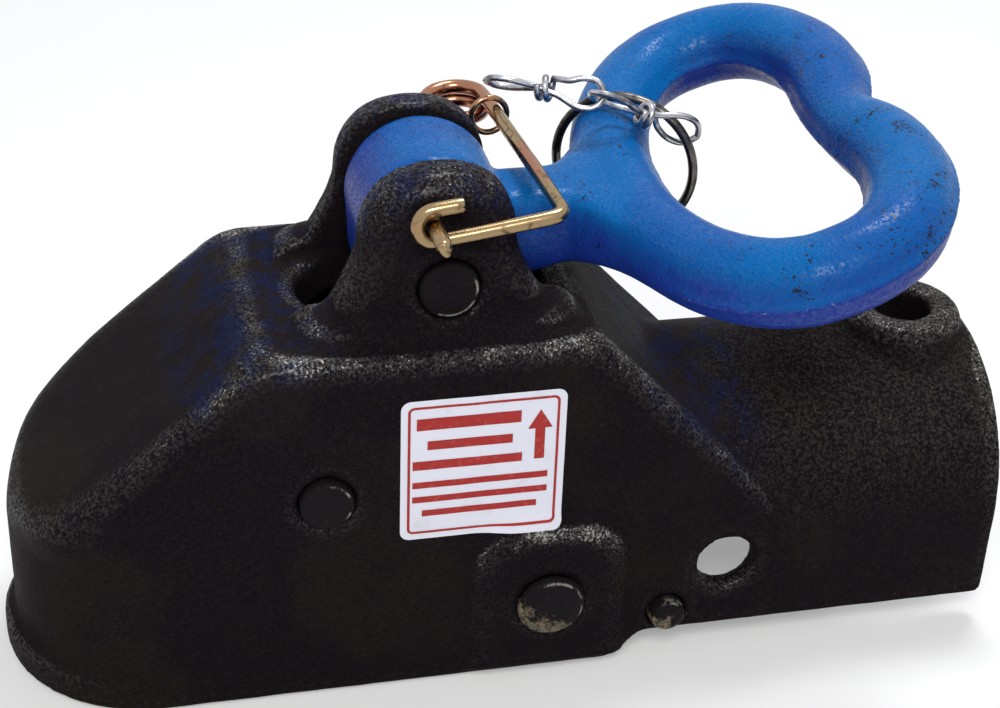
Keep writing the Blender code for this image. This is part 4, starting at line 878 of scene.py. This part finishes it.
label_finish, label_shade, label_shader = new_finish("label_paper", roughness=0.42, Specular_IOR_Level=0.35)
label_where = label_shade.nodes.new("ShaderNodeTexCoord").outputs["Object"]
label_dirt = cloud(label_shade, label_where, 120, detail=6, seed=8.8)
label_grime = product(label_shade, ramp(label_shade, label_dirt, 0.55, 0.75), 0.3)
feed(label_shade, label_shader, Base_Color=blend_colour(label_shade, label_grime, label_white, label_grey),
     Normal=relief(label_shade, label_dirt, 0.15, 0.0002))
label_edges = rounded_sheet(label_left, label_right, label_low, label_high, label_corner, label_columns)
flank_sheet("label_paper", label_edges, label_rows, label_stand_off, label_finish)

print_finish, print_shade, print_shader = new_finish("label_print", roughness=0.45, Specular_IOR_Level=0.3)
print_where = print_shade.nodes.new("ShaderNodeTexCoord").outputs["Object"]
print_fade = cloud(print_shade, print_where, 500, detail=3, seed=9.1)
print_colour = blend_colour(print_shade, ramp(print_shade, print_fade, 0.5, 0.8), label_red, label_faded)
feed(print_shade, print_shader, Base_Color=print_colour)
print_lift = label_stand_off + print_depth


def printed_bar(name, left, right, low, high):
    steps = max(4, int((right - left) / print_step))
    places = [left + (right - left) * i / steps for i in range(steps + 1)]
    flank_sheet(name, [((x, low), (x, high)) for x in places], max(2, int((high - low) / print_step)),
                print_lift, print_finish)


def printed_frame(name, left, right, low, high, corner, line):
    """A thin closed line with round corners, as one ring of faces. Its straight sides follow the flank."""
    bm = bmesh.new()
    rings = []
    for inset in (0.0, line):
        ring = []
        for cx, cz, start in ((right, high, 0), (left, high, 90), (left, low, 180), (right, low, 270)):
            mx = cx - corner if cx == right else cx + corner
            mz = cz - corner if cz == high else cz + corner
            for i in range(7):
                turn = math.radians(start + 15 * i)
                ring.append((mx + (corner - inset) * math.cos(turn), mz + (corner - inset) * math.sin(turn)))
        dense = []
        for first, second in zip(ring, ring[1:] + ring[:1]):
            dense.append(first)
            pieces = straight_pieces if math.dist(first, second) > corner else 1
            dense += [tuple(Vector(first).lerp(Vector(second), i / pieces)) for i in range(1, pieces)]
        rings.append([bm.verts.new(on_flank(x, z, print_lift)) for x, z in dense])
    outer, inner = rings
    for i in range(len(outer)):
        j = (i + 1) % len(outer)
        bm.faces.new((outer[i], outer[j], inner[j], inner[i]))
    bmesh.ops.recalc_face_normals(bm, faces=bm.faces)
    mesh = bpy.data.meshes.new(name)
    bm.to_mesh(mesh)
    bm.free()
    mesh.materials.append(print_finish)
    drawn = bpy.data.objects.new(name, mesh)
    scene.collection.objects.link(drawn)
    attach(drawn, "head")


frame_inset = 0.0019
frame_line = 0.00075
frame_corner = 0.0018
title_bar = (-0.0315, -0.0028, 0.0875, 0.0912)
bar_starts = ((-0.0285, -0.0050, 0.0812), (-0.0325, -0.0022, 0.0749), (-0.0325, 0.0052, 0.0690),
              (-0.0325, 0.0052, 0.0643), (-0.0298, 0.0024, 0.0597))
tall_bars = 2
tall_bar = 0.0028
low_bar = 0.0020
arrow_stem = (0.0012, 0.0040, 0.0752, 0.0850)
arrow_left = -0.0008
arrow_wide = 0.0068
arrow_tall = 0.0058
printed_frame("label_frame", label_left + frame_inset, label_right - frame_inset, label_low + frame_inset,
              label_high - frame_inset, frame_corner, frame_line)
printed_bar("label_title", *title_bar)
for row, (bar_left, bar_right, bar_low) in enumerate(bar_starts):
    bar_high = bar_low + (tall_bar if row < tall_bars else low_bar)
    printed_bar("label_rule_" + str(row), bar_left, bar_right, bar_low, bar_high)
printed_bar("label_arrow_stem", *arrow_stem)
arrow_low = arrow_stem[3]
arrow_edges = []
for i in range(9):
    arrow_x = arrow_left + arrow_wide * i / 8
    arrow_edge = arrow_low + arrow_tall * (1 - abs(i / 4 - 1)) + 0.0001
    arrow_edges.append(((arrow_x, arrow_low), (arrow_x, arrow_edge)))
flank_sheet("label_arrow_head", arrow_edges, 4, print_lift, print_finish)
